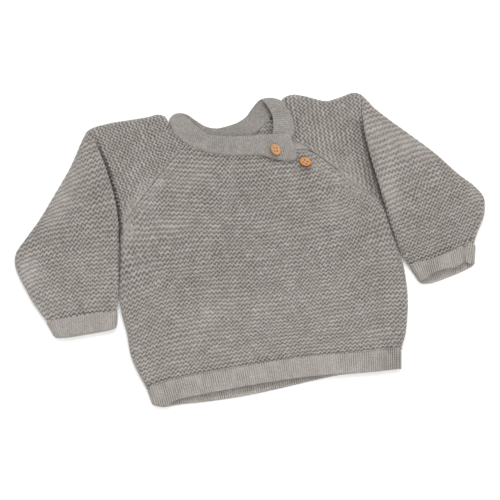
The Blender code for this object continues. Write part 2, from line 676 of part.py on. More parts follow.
def placket(finish):
    """The strip under the front's edge, sewn to the right sleeve's raglan edge."""
    stations = np.arange(float(len(FRONT_RIGHT["x"])))
    along = np.linspace(*PLACKET_STATIONS, 6)
    x = smooth(stations, FRONT_RIGHT["x"], along)
    up = smooth(stations, FRONT_RIGHT["up"], along)
    seam = np.stack([x, up], axis=1) - SEAM_GAP / 2
    inner = seam + PLACKET_WIDTH * np.array(PLACKET_ACROSS)
    across = np.linspace(0.0, 1.0, 3)[None, :, None]
    plan = seam[:, None] + (inner - seam)[:, None] * across
    points = np.dstack([plan, np.full(plan.shape[:2], PLACKET_Z)])
    return cloth("placket", points, RIB, finish)


def button(name, x, up, z, finish):
    """A flat wooden button with a raised rim and four holes."""
    vertices, faces, rings = [], [], []
    for reach, height in zip(*BUTTON_PROFILE.values()):
        ring = []
        for side in range(BUTTON_SIDES if reach else 1):
            angle = 2 * math.pi * side / BUTTON_SIDES
            ring.append(len(vertices))
            across = reach * BUTTON_RADIUS
            place = (x + across * math.cos(angle), up + across * math.sin(angle), z + height * BUTTON_THICK)
            vertices.append(place)
        rings.append(ring)
    for lower, upper in zip(rings, rings[1:]):
        for side in range(BUTTON_SIDES):
            following = (side + 1) % BUTTON_SIDES
            if len(lower) == 1:
                faces.append((lower[0], upper[following], upper[side]))
            elif len(upper) == 1:
                faces.append((lower[side], lower[following], upper[0]))
            else:
                faces.append((lower[side], lower[following], upper[following], upper[side]))
    made = add_object(name, vertices, faces, finish)
    for right in (-1, 1):
        for high in (-1, 1):
            cut_hole(made, x + right * BUTTON_HOLE_SPREAD, up + high * BUTTON_HOLE_SPREAD, z)
    return made


def cut_hole(made, x, up, z):
    """Cuts one thread hole through a button with a hidden cylinder."""
    place = (x * MM, (up - ORIGIN_UP) * MM, (z + BUTTON_THICK / 2) * MM)
    bpy.ops.mesh.primitive_cylinder_add(
        vertices=10, radius=BUTTON_HOLE_RADIUS * MM, depth=3 * BUTTON_THICK * MM, location=place
    )
    cutter = bpy.context.object
    cutter.name = f"cut_{made.name}"
    cutter.hide_render = True
    cutter.display_type = "WIRE"
    cut = made.modifiers.new("hole", "BOOLEAN")
    cut.operation = "DIFFERENCE"
    cut.object = cutter


def main():
    for made in list(bpy.data.objects):
        bpy.data.objects.remove(made, do_unlink=True)
    garter = material("garter_stitch", CLOTH_COLOUR, 0.95)
    rib = material("fine_rib", BAND_COLOUR, 0.95)
    wood = material("button_wood", WOOD_COLOUR, 0.5)
    front_panel(garter)
    back_panel(garter)
    left_neck = (NECK_FRONT_LEFT + NECK_CORNER, NECK_LEFT_FOLD, NECK_BACK_LEFT - NECK_CORNER)
    right_neck = (NECK_FRONT_RIGHT, NECK_RIGHT_FOLD, NECK_BACK_RIGHT + NECK_CORNER)
    sleeve("left_sleeve", LEFT_TUBE, LEFT_CAP, FRONT_LEFT, BACK_LEFT, left_neck, garter)
    sleeve("right_sleeve", RIGHT_TUBE, RIGHT_CAP, FRONT_RIGHT, BACK_RIGHT, right_neck, garter)
    neckband(rib)
    hem_band("front_hem", "front_up", rib, 1.0)
    hem_band("back_hem", "back_up", rib, -1.0)
    cuff("left_cuff", LEFT_CUFF, rib)
    cuff("right_cuff", RIGHT_CUFF, rib)
    placket(rib)
    for count, (x, up, z) in enumerate(zip(*BUTTONS.values()), 1):
        button(f"button_{count}", x, up, z, wood)


main()
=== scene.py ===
"""The looks of a baby's raglan sweater in garter stitch, laid flat on its back.

Every stitch that shows is modelled: each garter piece is a skin whose vertices follow the rows
and columns of its stitches, and each rib band is a strip whose vertices follow its ribs. Sizes
are in millimetres and are turned into metres when a mesh is made. Places on the garment are
given as x, to the right of its middle as it lies, up, from the hem towards the neck, and z,
above the surface that it lies on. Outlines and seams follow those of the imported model, and are
drawn more closely at the left sleeve, the right raglan, the button tab and the cuffs' mouths.
"""

import math

import bpy
import numpy as np
from mathutils import Euler, Matrix, Vector

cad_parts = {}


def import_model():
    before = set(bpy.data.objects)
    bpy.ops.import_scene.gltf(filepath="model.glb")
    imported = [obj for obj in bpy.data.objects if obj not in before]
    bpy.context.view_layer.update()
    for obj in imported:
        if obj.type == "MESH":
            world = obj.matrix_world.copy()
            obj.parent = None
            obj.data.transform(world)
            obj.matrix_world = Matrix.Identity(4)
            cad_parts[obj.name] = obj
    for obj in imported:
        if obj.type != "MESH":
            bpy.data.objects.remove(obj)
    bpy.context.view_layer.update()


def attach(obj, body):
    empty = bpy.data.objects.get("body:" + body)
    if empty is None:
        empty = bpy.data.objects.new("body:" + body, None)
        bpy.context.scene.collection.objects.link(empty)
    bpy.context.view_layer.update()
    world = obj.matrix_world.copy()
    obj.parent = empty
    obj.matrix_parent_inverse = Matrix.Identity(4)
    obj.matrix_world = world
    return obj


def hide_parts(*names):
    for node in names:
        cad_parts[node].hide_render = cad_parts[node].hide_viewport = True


MM = 0.001
ORIGIN_UP = 140.0  # the frame's origin, in places on the garment

# the cloth
GARTER = 2.6  # wall of the garter stitch
RIB = 2.0  # wall of the rib bands
EDGE_Z = 4.3  # height at which the front meets the back, at a side or an outer edge
BAND_EDGE_Z = 2.7  # the same for the rib bands
TURN = 6.6  # width of the turn at such an edge
TURN_ARC = 1.32  # cloth that goes round a turn, against its width
UNDERARM_UP = 162.0  # where the sides of the body end
STITCH = 4.0  # one garter stitch, across
BODY_STITCH, CAP_STITCH = 3.9, 4.6  # the same on the body and on the sleeves' caps
RIDGE = 4.4  # one garter ridge, from the next, where it isn't stretched or pressed together
WAVE = 0.22  # how far a ridge waves up and down, in ridges
RIDGE_YARN = 1.45  # half the width of the yarn in a ridge
RIDGE_DEEP = 1.35  # how far it stands above the pits
LEG_YARN = 0.8  # radius of the yarn between two ridges
LEG_SINK = 0.85  # how far that yarn lies below the ridges
LEG_LEAN = 0.91  # distance across that yarn, against the distance along the row, since it leans
PRESSED = 0.78  # relief of the stitches on the underside, which the garment lies on
RIM, RIM_PAINTED_SHADE = 1.6, 0.7  # how far a layer turns in at its rim, and the least shade painted there
RIB_STITCH = 2.3  # one stitch of the rib, along it
HEM_PITCH, NECK_PITCH, CUFF_PITCH, PLACKET_PITCH = 1.93, 2.0, 1.95, 1.9  # from one rib to the next
GUTTER = 0.3  # depth between two ribs
LAP = 1.0  # how far a band runs on under the garter piece that it is sewn to
SEAM_SINK, BAND_SEAM_SINK = 0.32, 0.5  # how far a piece dips into a seam, and beside a band
SEAM_WIDTH = 1.6  # within this distance
BAND_DIP, LAP_DIP = 0.4, 1.2  # how far a band dips at its seam, and on under the garter piece
HEM_TURN = 3.4  # over which a hem rib turns down at its two ends
HEM_BELOW = 0.15  # how far the front's hem rib lies below the front at their seam
CREASE_UP = 160.0  # where a sleeve's edge next to the body begins to lie over its cap
CREASE_Z = 5.8  # height of the edge there
CREASE_TURN = 4.2  # width of the turn there
CREASE_TUCK = 5.0  # how far the cap runs on under that edge
TUBE_Z, CAP_Z = 8.3, 7.2  # usual height of a sleeve's front, over its tube and over its cap
PLACKET_WIDTH, PLACKET_UNDER = 12.0, 1.5  # beside the raglan, and under the sleeve's cap
PLACKET_Z = 5.0  # middle of the placket's wall
PLACKET_LIFT_Z = 6.7  # middle of the front's wall where it lies over the placket
PLACKET_LIFT = ((56.0, 232.0), (83.0, 203.0))  # the line along which it does so
PLACKET_ACROSS = (-0.66, -0.75)  # the direction across the placket, away from the cap
FREE_FROM_UP = 207.0  # above this the front's edge isn't sewn to the right sleeve
FREE_RUN = 8.0  # over which it comes free
FREE_TURN, FREE_DROP = 2.4, 1.2  # width of the turn there, and how far it turns down
FREE_SHADE, FREE_SHADE_WIDTH = 1.6, 1.1  # the shade painted on the placket beside it, and how far it reaches
FRONT_SAMPLES, SLEEVE_SAMPLES, BACK_SAMPLES = (5.4, 5.8), (6, 6), (5, 5)  # a stitch, across and up
BUTTON_THICK, BUTTON_SIDES = 2.4, 72
SHARP_ANGLE = 48.0  # a button's edges stay sharp above this
HOLE_RADIUS, HOLE_SPREAD, HOLE_SIDES = 0.9, 1.6, 20  # of its holes, and how far out they are each way
THREAD_SPREAD = 1.15  # where the threads dip into the holes, on their inner side
THREAD_ASIDE = 0.21  # how far the two threads of a pair are from their middle
THREAD_RADIUS, STEM_RADIUS = 0.2, 1.1  # of a thread, and of the thread wound under a button
THREAD_SIDES = 8


def table(columns, *rows):
    """Named columns of numbers, of which the first says where each row lies."""
    return {name: np.array(values, float) for name, values in zip(columns.split(), zip(*rows))}


# outline of the body at its two sides
BODY = table(
    "up left right",
    (-5, -110.5, 111.5),
    (10, -113.6, 113.8),
    (20, -117.4, 116),
    (30, -121.1, 120.8),
    (46, -125.2, 125.5),
    (64, -126, 129.3),
    (85, -128.7, 131.2),
    (102, -129.5, 131.2),
    (120, -127.4, 128.4),
    (140, -125, 126),
    (UNDERARM_UP, -123, 123.6),
)

# the hem rib across the body: its seam, the lower edge of its front and how high that lies, and
# the lower edge of its back
HEM = table(
    "x seam_up front_up front_z back_up",
    (-113, 10.5, -3.8, 4.4, -3.8),
    (-106, 12.5, -6.6, 4.4, -6.4),
    (-100, 13.8, -6.7, 4.7, -6.8),
    (-94, 14.9, -4, 5.4, -6.4),
    (-86, 16, -2.4, 5.9, -6.2),
    (-71, 17.3, -1.4, 6.2, -6.6),
    (-37, 19.3, 0.7, 6.4, -6.2),
    (6, 21.4, 2.6, 6.4, -2.8),
    (32, 21.4, 2.8, 5.9, 0),
    (60, 20.3, 1.9, 5.2, 2.2),
    (90, 18.6, 0.3, 4.7, 1.3),
    (115.5, 17.5, -0.1, 4.6, 0.9),
)

HEM_MIDDLE_UP = 21.4  # its seam in the middle of the body

# how high the middle of the front's wall lies, in its middle and near its sides
LAY = table(
    "up middle side",
    (10, 5.8, 7),
    (50, 5.2, 7.3),
    (110, 5.4, 7.5),
    (160, 5.6, 7),
    (200, 5.7, 6.2),
    (260, 6, 6.2),
)

# how far it is from one ridge to the next, at some rises above each piece's first row
BODY_RIDGES = (
    (-20, 3.7), (0, 3.7), (20, 3.85), (50, 4.05), (110, 4.2), (150, 4.35), (175, 4.65), (215, 4.8),
)
LEFT_RIDGES = ((0, 4.2), (50, 4.25), (80, 4.6), (115, 4.9), (150, 5.2), (200, 5.3))
RIGHT_RIDGES = ((0, 3.4), (20, 3.65), (40, 4), (60, 4.6), (80, 5.1), (200, 5.5))
LEFT_CAP_RIDGES = ((0, 3.7), (60, 3.6), (120, 3.7))
RIGHT_CAP_RIDGES = ((0, 4), (60, 4), (120, 4.1))
EVEN_RIDGES = ((0, 4.4), (50, 4.4), (100, 4.4))

# soft troughs, or ridges where the depth is negative, in the front and the back of the body: each
# runs from x, up to x, up, with its width and its depth
FRONT_FOLDS = (
    (98, 148, 92, 60, 9, 1.5),
    (-78, 40, -104, 74, 10, 1.2),
    (-20, 60, 10, 30, 12, 0.6),
    (60, 40, 84, 66, 10, 0.8),
    (-96, 150, -60, 176, 9, 0.8),
    (100, 158, 70, 178, 8, 0.8),
    (-112, 120, -98, 96, 8, 0.7),
    (110, 108, 112, 80, 7, -0.6),
    (-30, 196, 14, 206, 8, 0.5),
    (26, 120, 60, 128, 11, 0.5),
)
BACK_FOLDS = (
    (-90, 140, -84, 70, 10, 0.5),
    (96, 130, 86, 60, 10, 0.5),
)

# the same on the two sleeves, on their tubes and on their caps
LEFT_FOLDS = (
    (-140, 168, -176, 176, 9, 0.9),
    (-138, 124, -158, 150, 9, 0.8),
    (-196, 118, -180, 142, 9, 0.7),
    (-150, 220, -160, 186, 8, 0.6),
)
LEFT_CAP_FOLDS = ((-92, 262, -112, 214, 9, 0.5),)
RIGHT_FOLDS = (
    (138, 168, 176, 160, 9, 0.9),
    (142, 122, 170, 140, 9, 0.8),
    (186, 118, 200, 142, 8, 0.7),
    (140, 214, 160, 180, 8, 0.6),
)
RIGHT_CAP_FOLDS = ((84, 262, 100, 214, 9, 0.5),)
# where the stitches of the two sleeves are stretched along their rows into smooth bands, and how
# much
LEFT_PLAIN = (
    (-148, 254, -192, 178, 16, 1),
    (-211, 160, -208, 114, 9, 0.8),
)
RIGHT_PLAIN = (
    (128, 266, 142, 196, 22, 0.85),
    (152, 236, 182, 198, 13, 0.8),
    (130, 196, 133, 138, 9, 0.9),
    (207, 174, 213, 146, 9, 0.8),
)
# the same for the front, and where the stitches are worn soft
FRONT_PLAIN = (
    (-60, 204, -36, 222, 12, 0.45),
    (-110, 168, -48, 163, 12, 0.4),
    (64, 178, 92, 150, 9, 0.6),
    (-70, 60, -30, 84, 12, 0.35),
)
FRONT_SOFT = (
    (-122, 156, -108, 178, 11, 1.1),
    (-96, 194, -68, 232, 6.5, 0.8),
    (118, 168, 84, 194, 12, 0.65),
    (84, 200, 60, 214, 7, 0.7),
)
LEFT_CAP_SOFT = ((-122, 172, -84, 222, 7, 0.9),)
RIGHT_CAP_SOFT = ((118, 170, 70, 226, 9, 0.8),)
# hollows beside the underarms: x, up, width and depth
UNDERARM_DIPS = ((-121.5, 167.5, 5, 3.6), (121.5, 166.5, 5, 3.6))

# raglan seams, from the underarm to the neck
FRONT_LEFT = (
    (-120.6, 169), (-109.5, 184.5), (-97, 199.5), (-85, 213.5), (-73, 227), (-61.5, 238.5),
    (-52, 247.5),
)
FRONT_RIGHT = (
    (120.3, 167.5), (109, 175.5), (98.5, 187), (89.8, 199), (82, 208.8), (75, 216.6), (69.5, 222.4),
    (65.4, 227.2), (62, 231), (57.4, 234.8), (52.6, 238.2), (48.6, 240.6),
)
BACK_LEFT = (
    (-120.6, 169), (-110, 182), (-98, 196.5), (-86.5, 211), (-74.5, 226.5), (-63.5, 241.5),
    (-52.5, 257),
)
BACK_RIGHT = ((120.3, 167.5), (106, 182), (92, 197.5), (77.5, 214), (63, 231.5), (48.5, 250), (34, 268))
# the front's own edge at the buttons, which lies over the placket, up to its corner
FRONT_EDGE = (
    (120.3, 167.5), (109, 175.5), (98.5, 187), (89.8, 199), (82, 208.6), (75, 216.2), (70.4, 221.2),
    (65.6, 225.6), (59.6, 228.2), (52.5, 228.6),
)
# the placket's edge under the cap
PLACKET_EDGE = (
    (84, 206.4), (75, 216.6), (69.5, 222.4), (64.6, 228.2), (61, 231.8), (57, 235), (51, 238.8),
    (44.5, 242),
)

BAND_COLUMNS = "at seam_x seam_up seam_z edge_x edge_up edge_z"

# the neckband, from the button tab along the front, over the left shoulder, round the back and
# over the right shoulder to its end under the tab: its seam and its free edge
NECK = table(
    BAND_COLUMNS,
    (0, 51.6, 218.2, 9.1, 47.2, 246.4, 9.3),
    (1, 40.4, 218.8, 9.1, 38.2, 247.2, 9.4),
    (2, 28.4, 223, 8.9, 29, 247.9, 9.4),
    (3, 18, 227.9, 8.2, 19, 248.5, 9.3),
    (4, 8, 229.6, 7, 8, 249.1, 9),
    (5, -6, 231.4, 6.4, -6, 250.2, 8.8),
    (6, -19.5, 234.6, 6.2, -18, 252.8, 8.8),
    (7, -31, 238, 6.2, -27.5, 255.2, 8.8),
    (8, -41, 243.2, 6.2, -34.3, 260.5, 8.8),
    (9, -50.5, 250.2, 6.2, -40.6, 268.4, 8.4),
    (10, -57.5, 258.6, 6, -44.8, 275.2, 7.6),
    (11, -61.8, 267.5, 5.6, -48.6, 280.6, 5.8),
    (12, -63.6, 276.5, 3.6, -50.8, 284.2, 3.8),
    (13, -60.5, 269, 1.4, -45.4, 283.2, 1.9),
    (14, -52.5, 258.6, 1.1, -38.8, 276.7, 1.7),
    (15, -42, 250.4, 1.1, -30.6, 269, 1.7),
    (16, -25.5, 244.6, 1.1, -21.2, 265.2, 1.7),
    (17, -9, 245.2, 1.1, -12, 265.7, 1.7),
    (18, 6.4, 249.6, 1.1, -0.2, 268.4, 1.7),
    (19, 19.6, 258.2, 1.1, 9, 273.4, 1.8),
    (20, 29.8, 268, 1.2, 15.2, 280.4, 2.1),
    (21, 38, 276.6, 1.7, 20.4, 285.8, 2.9),
    (22, 44.4, 284.6, 4, 25.2, 288.2, 4.6),
    (23, 48.4, 277.5, 6, 29.4, 281.4, 7.6),
    (24, 52.2, 266.6, 6.3, 33.4, 270.2, 8.2),
    (25, 53.4, 255, 6.1, 33.4, 258.8, 7.8),
    (26, 50.6, 244.8, 5.7, 31, 249, 6.2),
    (27, 47.6, 237.6, 5.3, 28.6, 241, 5.4),
)
# where the neckband swells out at its folds, how far, and to which side
NECK_HUMPS = ((12, 3.3, -0.515, 0.857), (22, 2.6, 0.184, 0.983))
# where it passes the raglan seams and the folds of the shoulders, and the end of its tab
NECK_FRONT_LEFT, NECK_LEFT_FOLD, NECK_BACK_LEFT = 9.3, 12, 14
NECK_BACK_RIGHT, NECK_RIGHT_FOLD, NECK_FRONT_RIGHT = 20.2, 22, 26.6
NECK_TAB = 3
NECK_INSIDE_FROM = 16.6  # from here on the inside of the back shows

# the inside of the back that shows through the neck, below the neckband
INSIDE_SHOWN = ((40, 258), (40, 238), (16, 232), (-12, 234))

# a sleeve's outer edge, from the cuff over the shoulder to the neckband
LEFT_OUTER = (
    (-196.2, 86.7), (-206, 104.8), (-213, 121.8), (-218.4, 137.1), (-220.6, 148), (-218.5, 159.2),
    (-208.6, 172.1), (-194, 190.6), (-179.8, 212), (-162, 239.8), (-147.6, 268.4), (-139.6, 278.8),
    (-121.4, 282.8), (-107.1, 283.6), (-94.1, 284.2), (-83.2, 284.8), (-74, 286.2), (-67.4, 283.2),
    (-64.5, 277.2),
)
RIGHT_OUTER = (
    (200.3, 113.5), (203, 119.5), (208, 128), (213.3, 137), (216.8, 148), (217.3, 158.5), (211, 170.5),
    (197.5, 186.3), (181.8, 208.5), (165, 228), (148, 247), (133.3, 264.5), (127.8, 273.6), (122, 282),
    (114.5, 285), (102.5, 282), (91.4, 279.4), (83.7, 280.5), (77.3, 283.3), (68.7, 287.3),
    (59.9, 290.3), (53.2, 290.4), (47.6, 288.2), (45.2, 285.2),
)
# its edge next to the body, from the cuff to the underarm, and the crease above that, where it
# lies over its own cap
LEFT_INNER = (
    (-132.4, 88.5), (-130.2, 100), (-127.8, 116), (-125.9, 132), (-124.6, 145), (-123.4, 156),
    (-122.6, 168), (-122.2, 180), (-122.3, 192), (-123.4, 204), (-125.4, 219), (-127.4, 232),
    (-130.8, 246), (-135, 262), (-140.2, 274.5),
)
RIGHT_INNER = (
    (136.6, 97), (133.4, 103), (130.2, 112), (128, 124), (126.2, 137), (124.7, 150), (123.6, 163),
    (122.6, 178), (121.4, 192), (119.6, 210), (118.4, 228), (118.2, 245), (119.6, 264), (122.8, 280),
)

# the cuffs all round, from their edge beside the body over the front: seam and mouth
LEFT_CUFF = table(
    BAND_COLUMNS,
    (0, -133.2, 88.4, 3.2, -134.8, 75.6, 2.8),
    (1, -134.8, 88.3, 5, -136, 72.6, 4.3),
    (2, -140, 88.1, 5.5, -141.2, 71.2, 4.9),
    (3, -152, 87.8, 5.5, -153.6, 71, 5),
    (4, -164, 87.5, 5.5, -165.6, 70.2, 5),
    (5, -176, 87.3, 5.5, -176.6, 69.6, 5),
    (6, -186, 87.1, 5.5, -184.8, 69.8, 4.8),
    (7, -193.6, 86.8, 5, -188.8, 71.4, 4),
    (8, -195.9, 86.6, 3.2, -190.2, 73.6, 2.8),
    (9, -193.6, 86.8, 1, -188.2, 71.2, 1),
    (10, -180, 87.2, 1, -178, 70.4, 1),
    (11, -164, 87.5, 1, -163, 71, 1),
    (12, -148, 88, 1, -148, 71.8, 1),
    (13, -136, 88.3, 1.2, -137.4, 73.2, 1),
    (14, -133.2, 88.4, 3.2, -135, 75, 2.8),
)
# the right one's mouth is open, and folds in near its outer side
RIGHT_CUFF = table(
    BAND_COLUMNS,
    (0, 137.6, 97, 3.4, 142.8, 83.6, 3.2),
    (1, 140.2, 97.8, 5.6, 144.2, 80.8, 5.8),
    (2, 147, 99.2, 5.8, 148.8, 81.6, 7.6),
    (3, 156.7, 101, 5.9, 156.6, 86.2, 8.4),
    (4, 168, 103.6, 5.9, 167.4, 88.3, 8.4),
    (5, 179, 107, 5.8, 178.4, 89.4, 7.8),
    (6, 185.4, 109.4, 6.1, 184.2, 92.6, 7.2),
    (7, 190.2, 111.2, 4, 186, 94.2, 3.6),
    (8, 195.2, 112.9, 5.4, 188.6, 93.6, 5),
    (9, 198.6, 111.6, 4.9, 191.6, 91.8, 5.2),
    (10, 199.6, 109, 3.2, 195, 92.4, 3.2),
    (11, 197.6, 112, 1, 192.8, 90.4, 1),
    (12, 184, 109, 1, 181, 86, 1),
    (13, 168, 104.6, 1, 168, 82.4, 1),
    (14, 152, 100.4, 1, 155, 79.4, 1),
    (15, 141, 97.6, 1.2, 145.8, 79.9, 1.2),
    (16, 137.6, 97, 3.4, 142.8, 83.6, 3.2),
)

# how strong the ribs of a band are, from its start, at 0, to its end, at 1
EVEN = ((0, 1), (1, 1))
FRONT_HEM_BOLD = (
    (0, 1.4), (0.16, 1.2), (0.3, 0.9), (0.56, 0.9), (0.64, 0.7), (0.8, 0.9), (0.88, 1.3), (1, 2.2),
)
BACK_HEM_BOLD = ((0, 1.2), (0.4, 1.4), (0.6, 1.6), (1, 1.2))
NECK_BOLD = ((0, 0.6), (0.35, 0.45), (0.45, 0.9), (0.6, 0.6), (0.8, 0.8), (1, 0.9))
LEFT_CUFF_BOLD = ((0, 0.9), (0.1, 0.45), (0.4, 0.6), (0.5, 0.9), (1, 0.9))
RIGHT_CUFF_BOLD = ((0, 1.3), (0.15, 1.5), (0.25, 1), (0.5, 1.3), (1, 0.8))

# the buttons: x, up and z of the middle of the underside, how far it leans to the right and up, and
# how far it is turned, in degrees
BUTTONS = (
    (30.6, 228.5, 12.6, 33, -7, 12),
    (57.2, 212.9, 9.3, 13, 12, 50),
)


# ---------------------------------------------------------------- small geometry


def smooth(keys, values, at):
    """The value at a place between the rows of a table, on a smooth curve through them."""
    at = np.clip(np.asarray(at, float), keys[0], keys[-1])
    slopes = np.gradient(values, keys)
    i = np.clip(np.searchsorted(keys, at) - 1, 0, len(keys) - 2)
    span = keys[i + 1] - keys[i]
    t = (at - keys[i]) / span
    start = (1 + 2 * t) * (1 - t) ** 2 * values[i] + t * (1 - t) ** 2 * span * slopes[i]
    end = t * t * (3 - 2 * t) * values[i + 1] + t * t * (t - 1) * span * slopes[i + 1]
    return start + end


def look_up(rows, column, at):
    """A column of a table at a place between its rows."""
    return smooth(next(iter(rows.values())), rows[column], at)


def ease(t):
    """0 to 1, with level ends."""
    t = np.clip(t, 0, 1)
    return t * t * (3 - 2 * t)


def quarter_round(t):
    """0 to 1 as a quarter of an ellipse: steep at first, then level."""
    return np.sqrt(1 - (1 - np.clip(t, 0, 1)) ** 2)


def bell(t):
    """1 at 0, falling away on both sides."""
    return np.exp(-(t**2))


def unit(vectors):
    return vectors / (np.linalg.norm(vectors, axis=-1, keepdims=True) + 1e-9)


def run_along(line):
    """How far along a line each of its points lies."""
    return np.append(0, np.cumsum(np.linalg.norm(np.diff(line, axis=0), axis=1)))


def placed_at(line, run, at):
    """The points of a line at other distances along it."""
    return np.column_stack([np.interp(at, run, column) for column in line.T])


def curve(places, step=1.5):
    """A smooth line through places, with a point about every step."""
    keys = np.arange(float(len(places)))
    dense = np.linspace(0, keys[-1], 40 * len(places))
    line = np.column_stack([smooth(keys, column, dense) for column in np.array(places, float).T])
    run = run_along(line)
    return placed_at(line, run, np.linspace(0, run[-1], max(2, int(round(run[-1] / step)) + 1)))


def extended(line, far):
    """A line with one more point before its start, straight on."""
    return np.concatenate([[line[0] + unit(line[0] - line[1]) * far], line])


def nearest(places, line, chunk=8000):
    """For each place: its distance to a line, the nearest point on it and where that lies, 0 to 1."""
    start, step = line[:-1], np.diff(line, axis=0)
    lengths = (step**2).sum(1) + 1e-12
    count = len(places)
    distance, closest, along = np.empty(count), np.empty((count, 2)), np.empty(count)
    for first in range(0, count, chunk):
        some = places[first : first + chunk]
        off = some[:, None] - start
        t = np.clip((off * step).sum(2) / lengths, 0, 1)
        points = start + t[..., None] * step
        away = np.linalg.norm(some[:, None] - points, axis=2)
        best = away.argmin(1)
        row = np.arange(len(some))
        distance[first : first + chunk] = away[row, best]
        closest[first : first + chunk] = points[row, best]
        along[first : first + chunk] = (best + t[row, best]) / len(step)
    return distance, closest, along


def away_from(line, x, up):
    """How far places are from a line."""
    return nearest(np.column_stack([np.ravel(x), np.ravel(up)]), line)[0].reshape(np.shape(x))


def beside_line(x, up, start, end):
    """How far along a straight line each place is, from 0 to 1, and how far away from it."""
    run, rise = end[0] - start[0], end[1] - start[1]
    along = np.clip(((x - start[0]) * run + (up - start[1]) * rise) / (run**2 + rise**2), 0, 1)
    return along, np.hypot(x - start[0] - along * run, up - start[1] - along * rise)


def inside(places, outline, chunk=20000):
    """Whether each place lies inside a closed outline."""
    x1, y1 = outline.T
    x2, y2 = np.roll(outline, -1, axis=0).T
    found = np.zeros(len(places), bool)
    for first in range(0, len(places), chunk):
        x, y = places[first : first + chunk].T[:, :, None]
        crosses = (y1 > y) != (y2 > y)
        edge_x = (x2 - x1) * (y - y1) / (y2 - y1 + 1e-12) + x1
        found[first : first + chunk] = (crosses & (x < edge_x)).sum(1) % 2 == 1
    return found


def lattice_noise(x, y, seed):
    """Smooth noise from -1 to 1 over a plane, with one value at each whole place."""
    values = np.random.default_rng(seed).uniform(-1, 1, (256, 256))
    i, j = np.floor(x).astype(int), np.floor(y).astype(int)
    s, t = ease(x - i), ease(y - j)
    low = values[i % 256, j % 256] * (1 - s) + values[(i + 1) % 256, j % 256] * s
    high = values[i % 256, (j + 1) % 256] * (1 - s) + values[(i + 1) % 256, (j + 1) % 256] * s
    return low * (1 - t) + high * t


def waver(x, up, seed):
    """How far the rows waver, from place to place."""
    return 1.3 * lattice_noise(x / 26 + 40, up / 22 + 40, seed)


def folded(x, up, folds):
    """How deep soft folds are at a place."""
    depth = np.zeros(np.shape(x))
    for from_x, from_up, to_x, to_up, width, deepest in folds:
        along, away = beside_line(x, up, (from_x, from_up), (to_x, to_up))
        depth += deepest * bell(away / width) * np.sin(np.pi * (0.1 + 0.8 * along))
    return depth


def dips(x, up, places):
    """How deep the dips at single places are: each place is x, up, width and depth."""
    return sum(
        deep * bell(np.hypot(x - at_x, up - at_up) / width) for at_x, at_up, width, deep in places
    )


# ---------------------------------------------------------------- stitches


def garter(u, v, seed, plain, soft):
    """How deep garter stitch lies below its ridges, in mm, at u stitches along and v ridges up.

    A wavy yarn runs along each ridge. Between two ridges the legs of the stitches spread from a
    crest of the lower one to the troughs of the upper one, with a pit inside and outside each V.
    Where it is plain, from 0 to 1, the stitches are pulled along their row into a smooth band;
    where it is soft, they are worn together and lie less evenly.
    """
    loose = 1 + 1.2 * soft
    drift = 0.4 * lattice_noise(u / 7, v / 5, seed + 1)
    u = u + 0.22 * loose * lattice_noise(u * 0.9, v * 0.9, seed) + drift
    v = v + 0.13 * loose * lattice_noise(u * 0.8, v * 1.1, seed + 2)
    height = WAVE * (1 - 0.85 * plain) * (1 + 0.3 * lattice_noise(u / 3, v / 3, seed + 3))
    off_ridge = v - height * np.cos(2 * np.pi * u)
    off_ridge = abs(off_ridge - np.round(off_ridge)) * RIDGE
    yarn = RIDGE_YARN * (1 + 0.22 * lattice_noise(u * 0.8, v * 0.8, seed + 4) + 0.27 * plain)
    ridge = RIDGE_DEEP * (1 - np.sqrt(np.maximum(1 - (off_ridge / yarn) ** 2, 0)))
    ridge = ridge + 0.22 * (1 + lattice_noise(u * 1.6, v * 1.3, seed + 5))
    crest_off = abs(u - np.round(u))
    climb = v - np.floor(v)
    off_leg = (crest_off - 0.5 * climb) * STITCH * LEG_LEAN
    leg = LEG_SINK * (1 - 0.35 * plain) + LEG_YARN - np.sqrt(np.maximum(LEG_YARN**2 - off_leg**2, 0))
    pit = RIDGE_DEEP * (1 + 0.12 * lattice_noise(u * 0.7, v * 0.7, seed + 6))
    worn = 0.3 * soft * lattice_noise(u * 2.2, v * 2.2, seed + 7)
    return np.minimum(np.minimum(ridge, leg), pit) * (1 - 0.35 * soft - 0.1 * plain) + worn


def rib(across, along, seed):
    """How deep a fine rib lies below its columns, at so many ribs across and stitches along."""
    across = across + 0.09 * lattice_noise(across * 0.7, along * 0.4, seed)
    off = abs(across - np.round(across))
    stitch = 0.5 - 0.5 * np.cos(2 * np.pi * (along + 0.7 * off))
    weight = 0.9 + 0.5 * lattice_noise(across * 0.5, along * 0.25, seed + 1)
    return GUTTER * bell((off - 0.5) / 0.17) * np.maximum(weight, 0.1) + 0.07 * stitch


# ---------------------------------------------------------------- meshes


def on_frame(places):
    """Places on the garment, in the frame and in metres."""
    return (places - (0, ORIGIN_UP, 0)) * MM


def quads(number, around=False):
    """The faces of a grid of numbered vertices, whose last column may join its first."""
    if around:
        number = np.column_stack([number, number[:, 0]])
    corners = (number[:-1, :-1], number[:-1, 1:], number[1:, 1:], number[1:, :-1])
    return np.stack(corners, axis=2).reshape(-1, 4)


def numbered(rows, columns, first=0):
    """The numbers of a grid of vertices."""
    return first + np.arange(rows * columns).reshape(rows, columns)


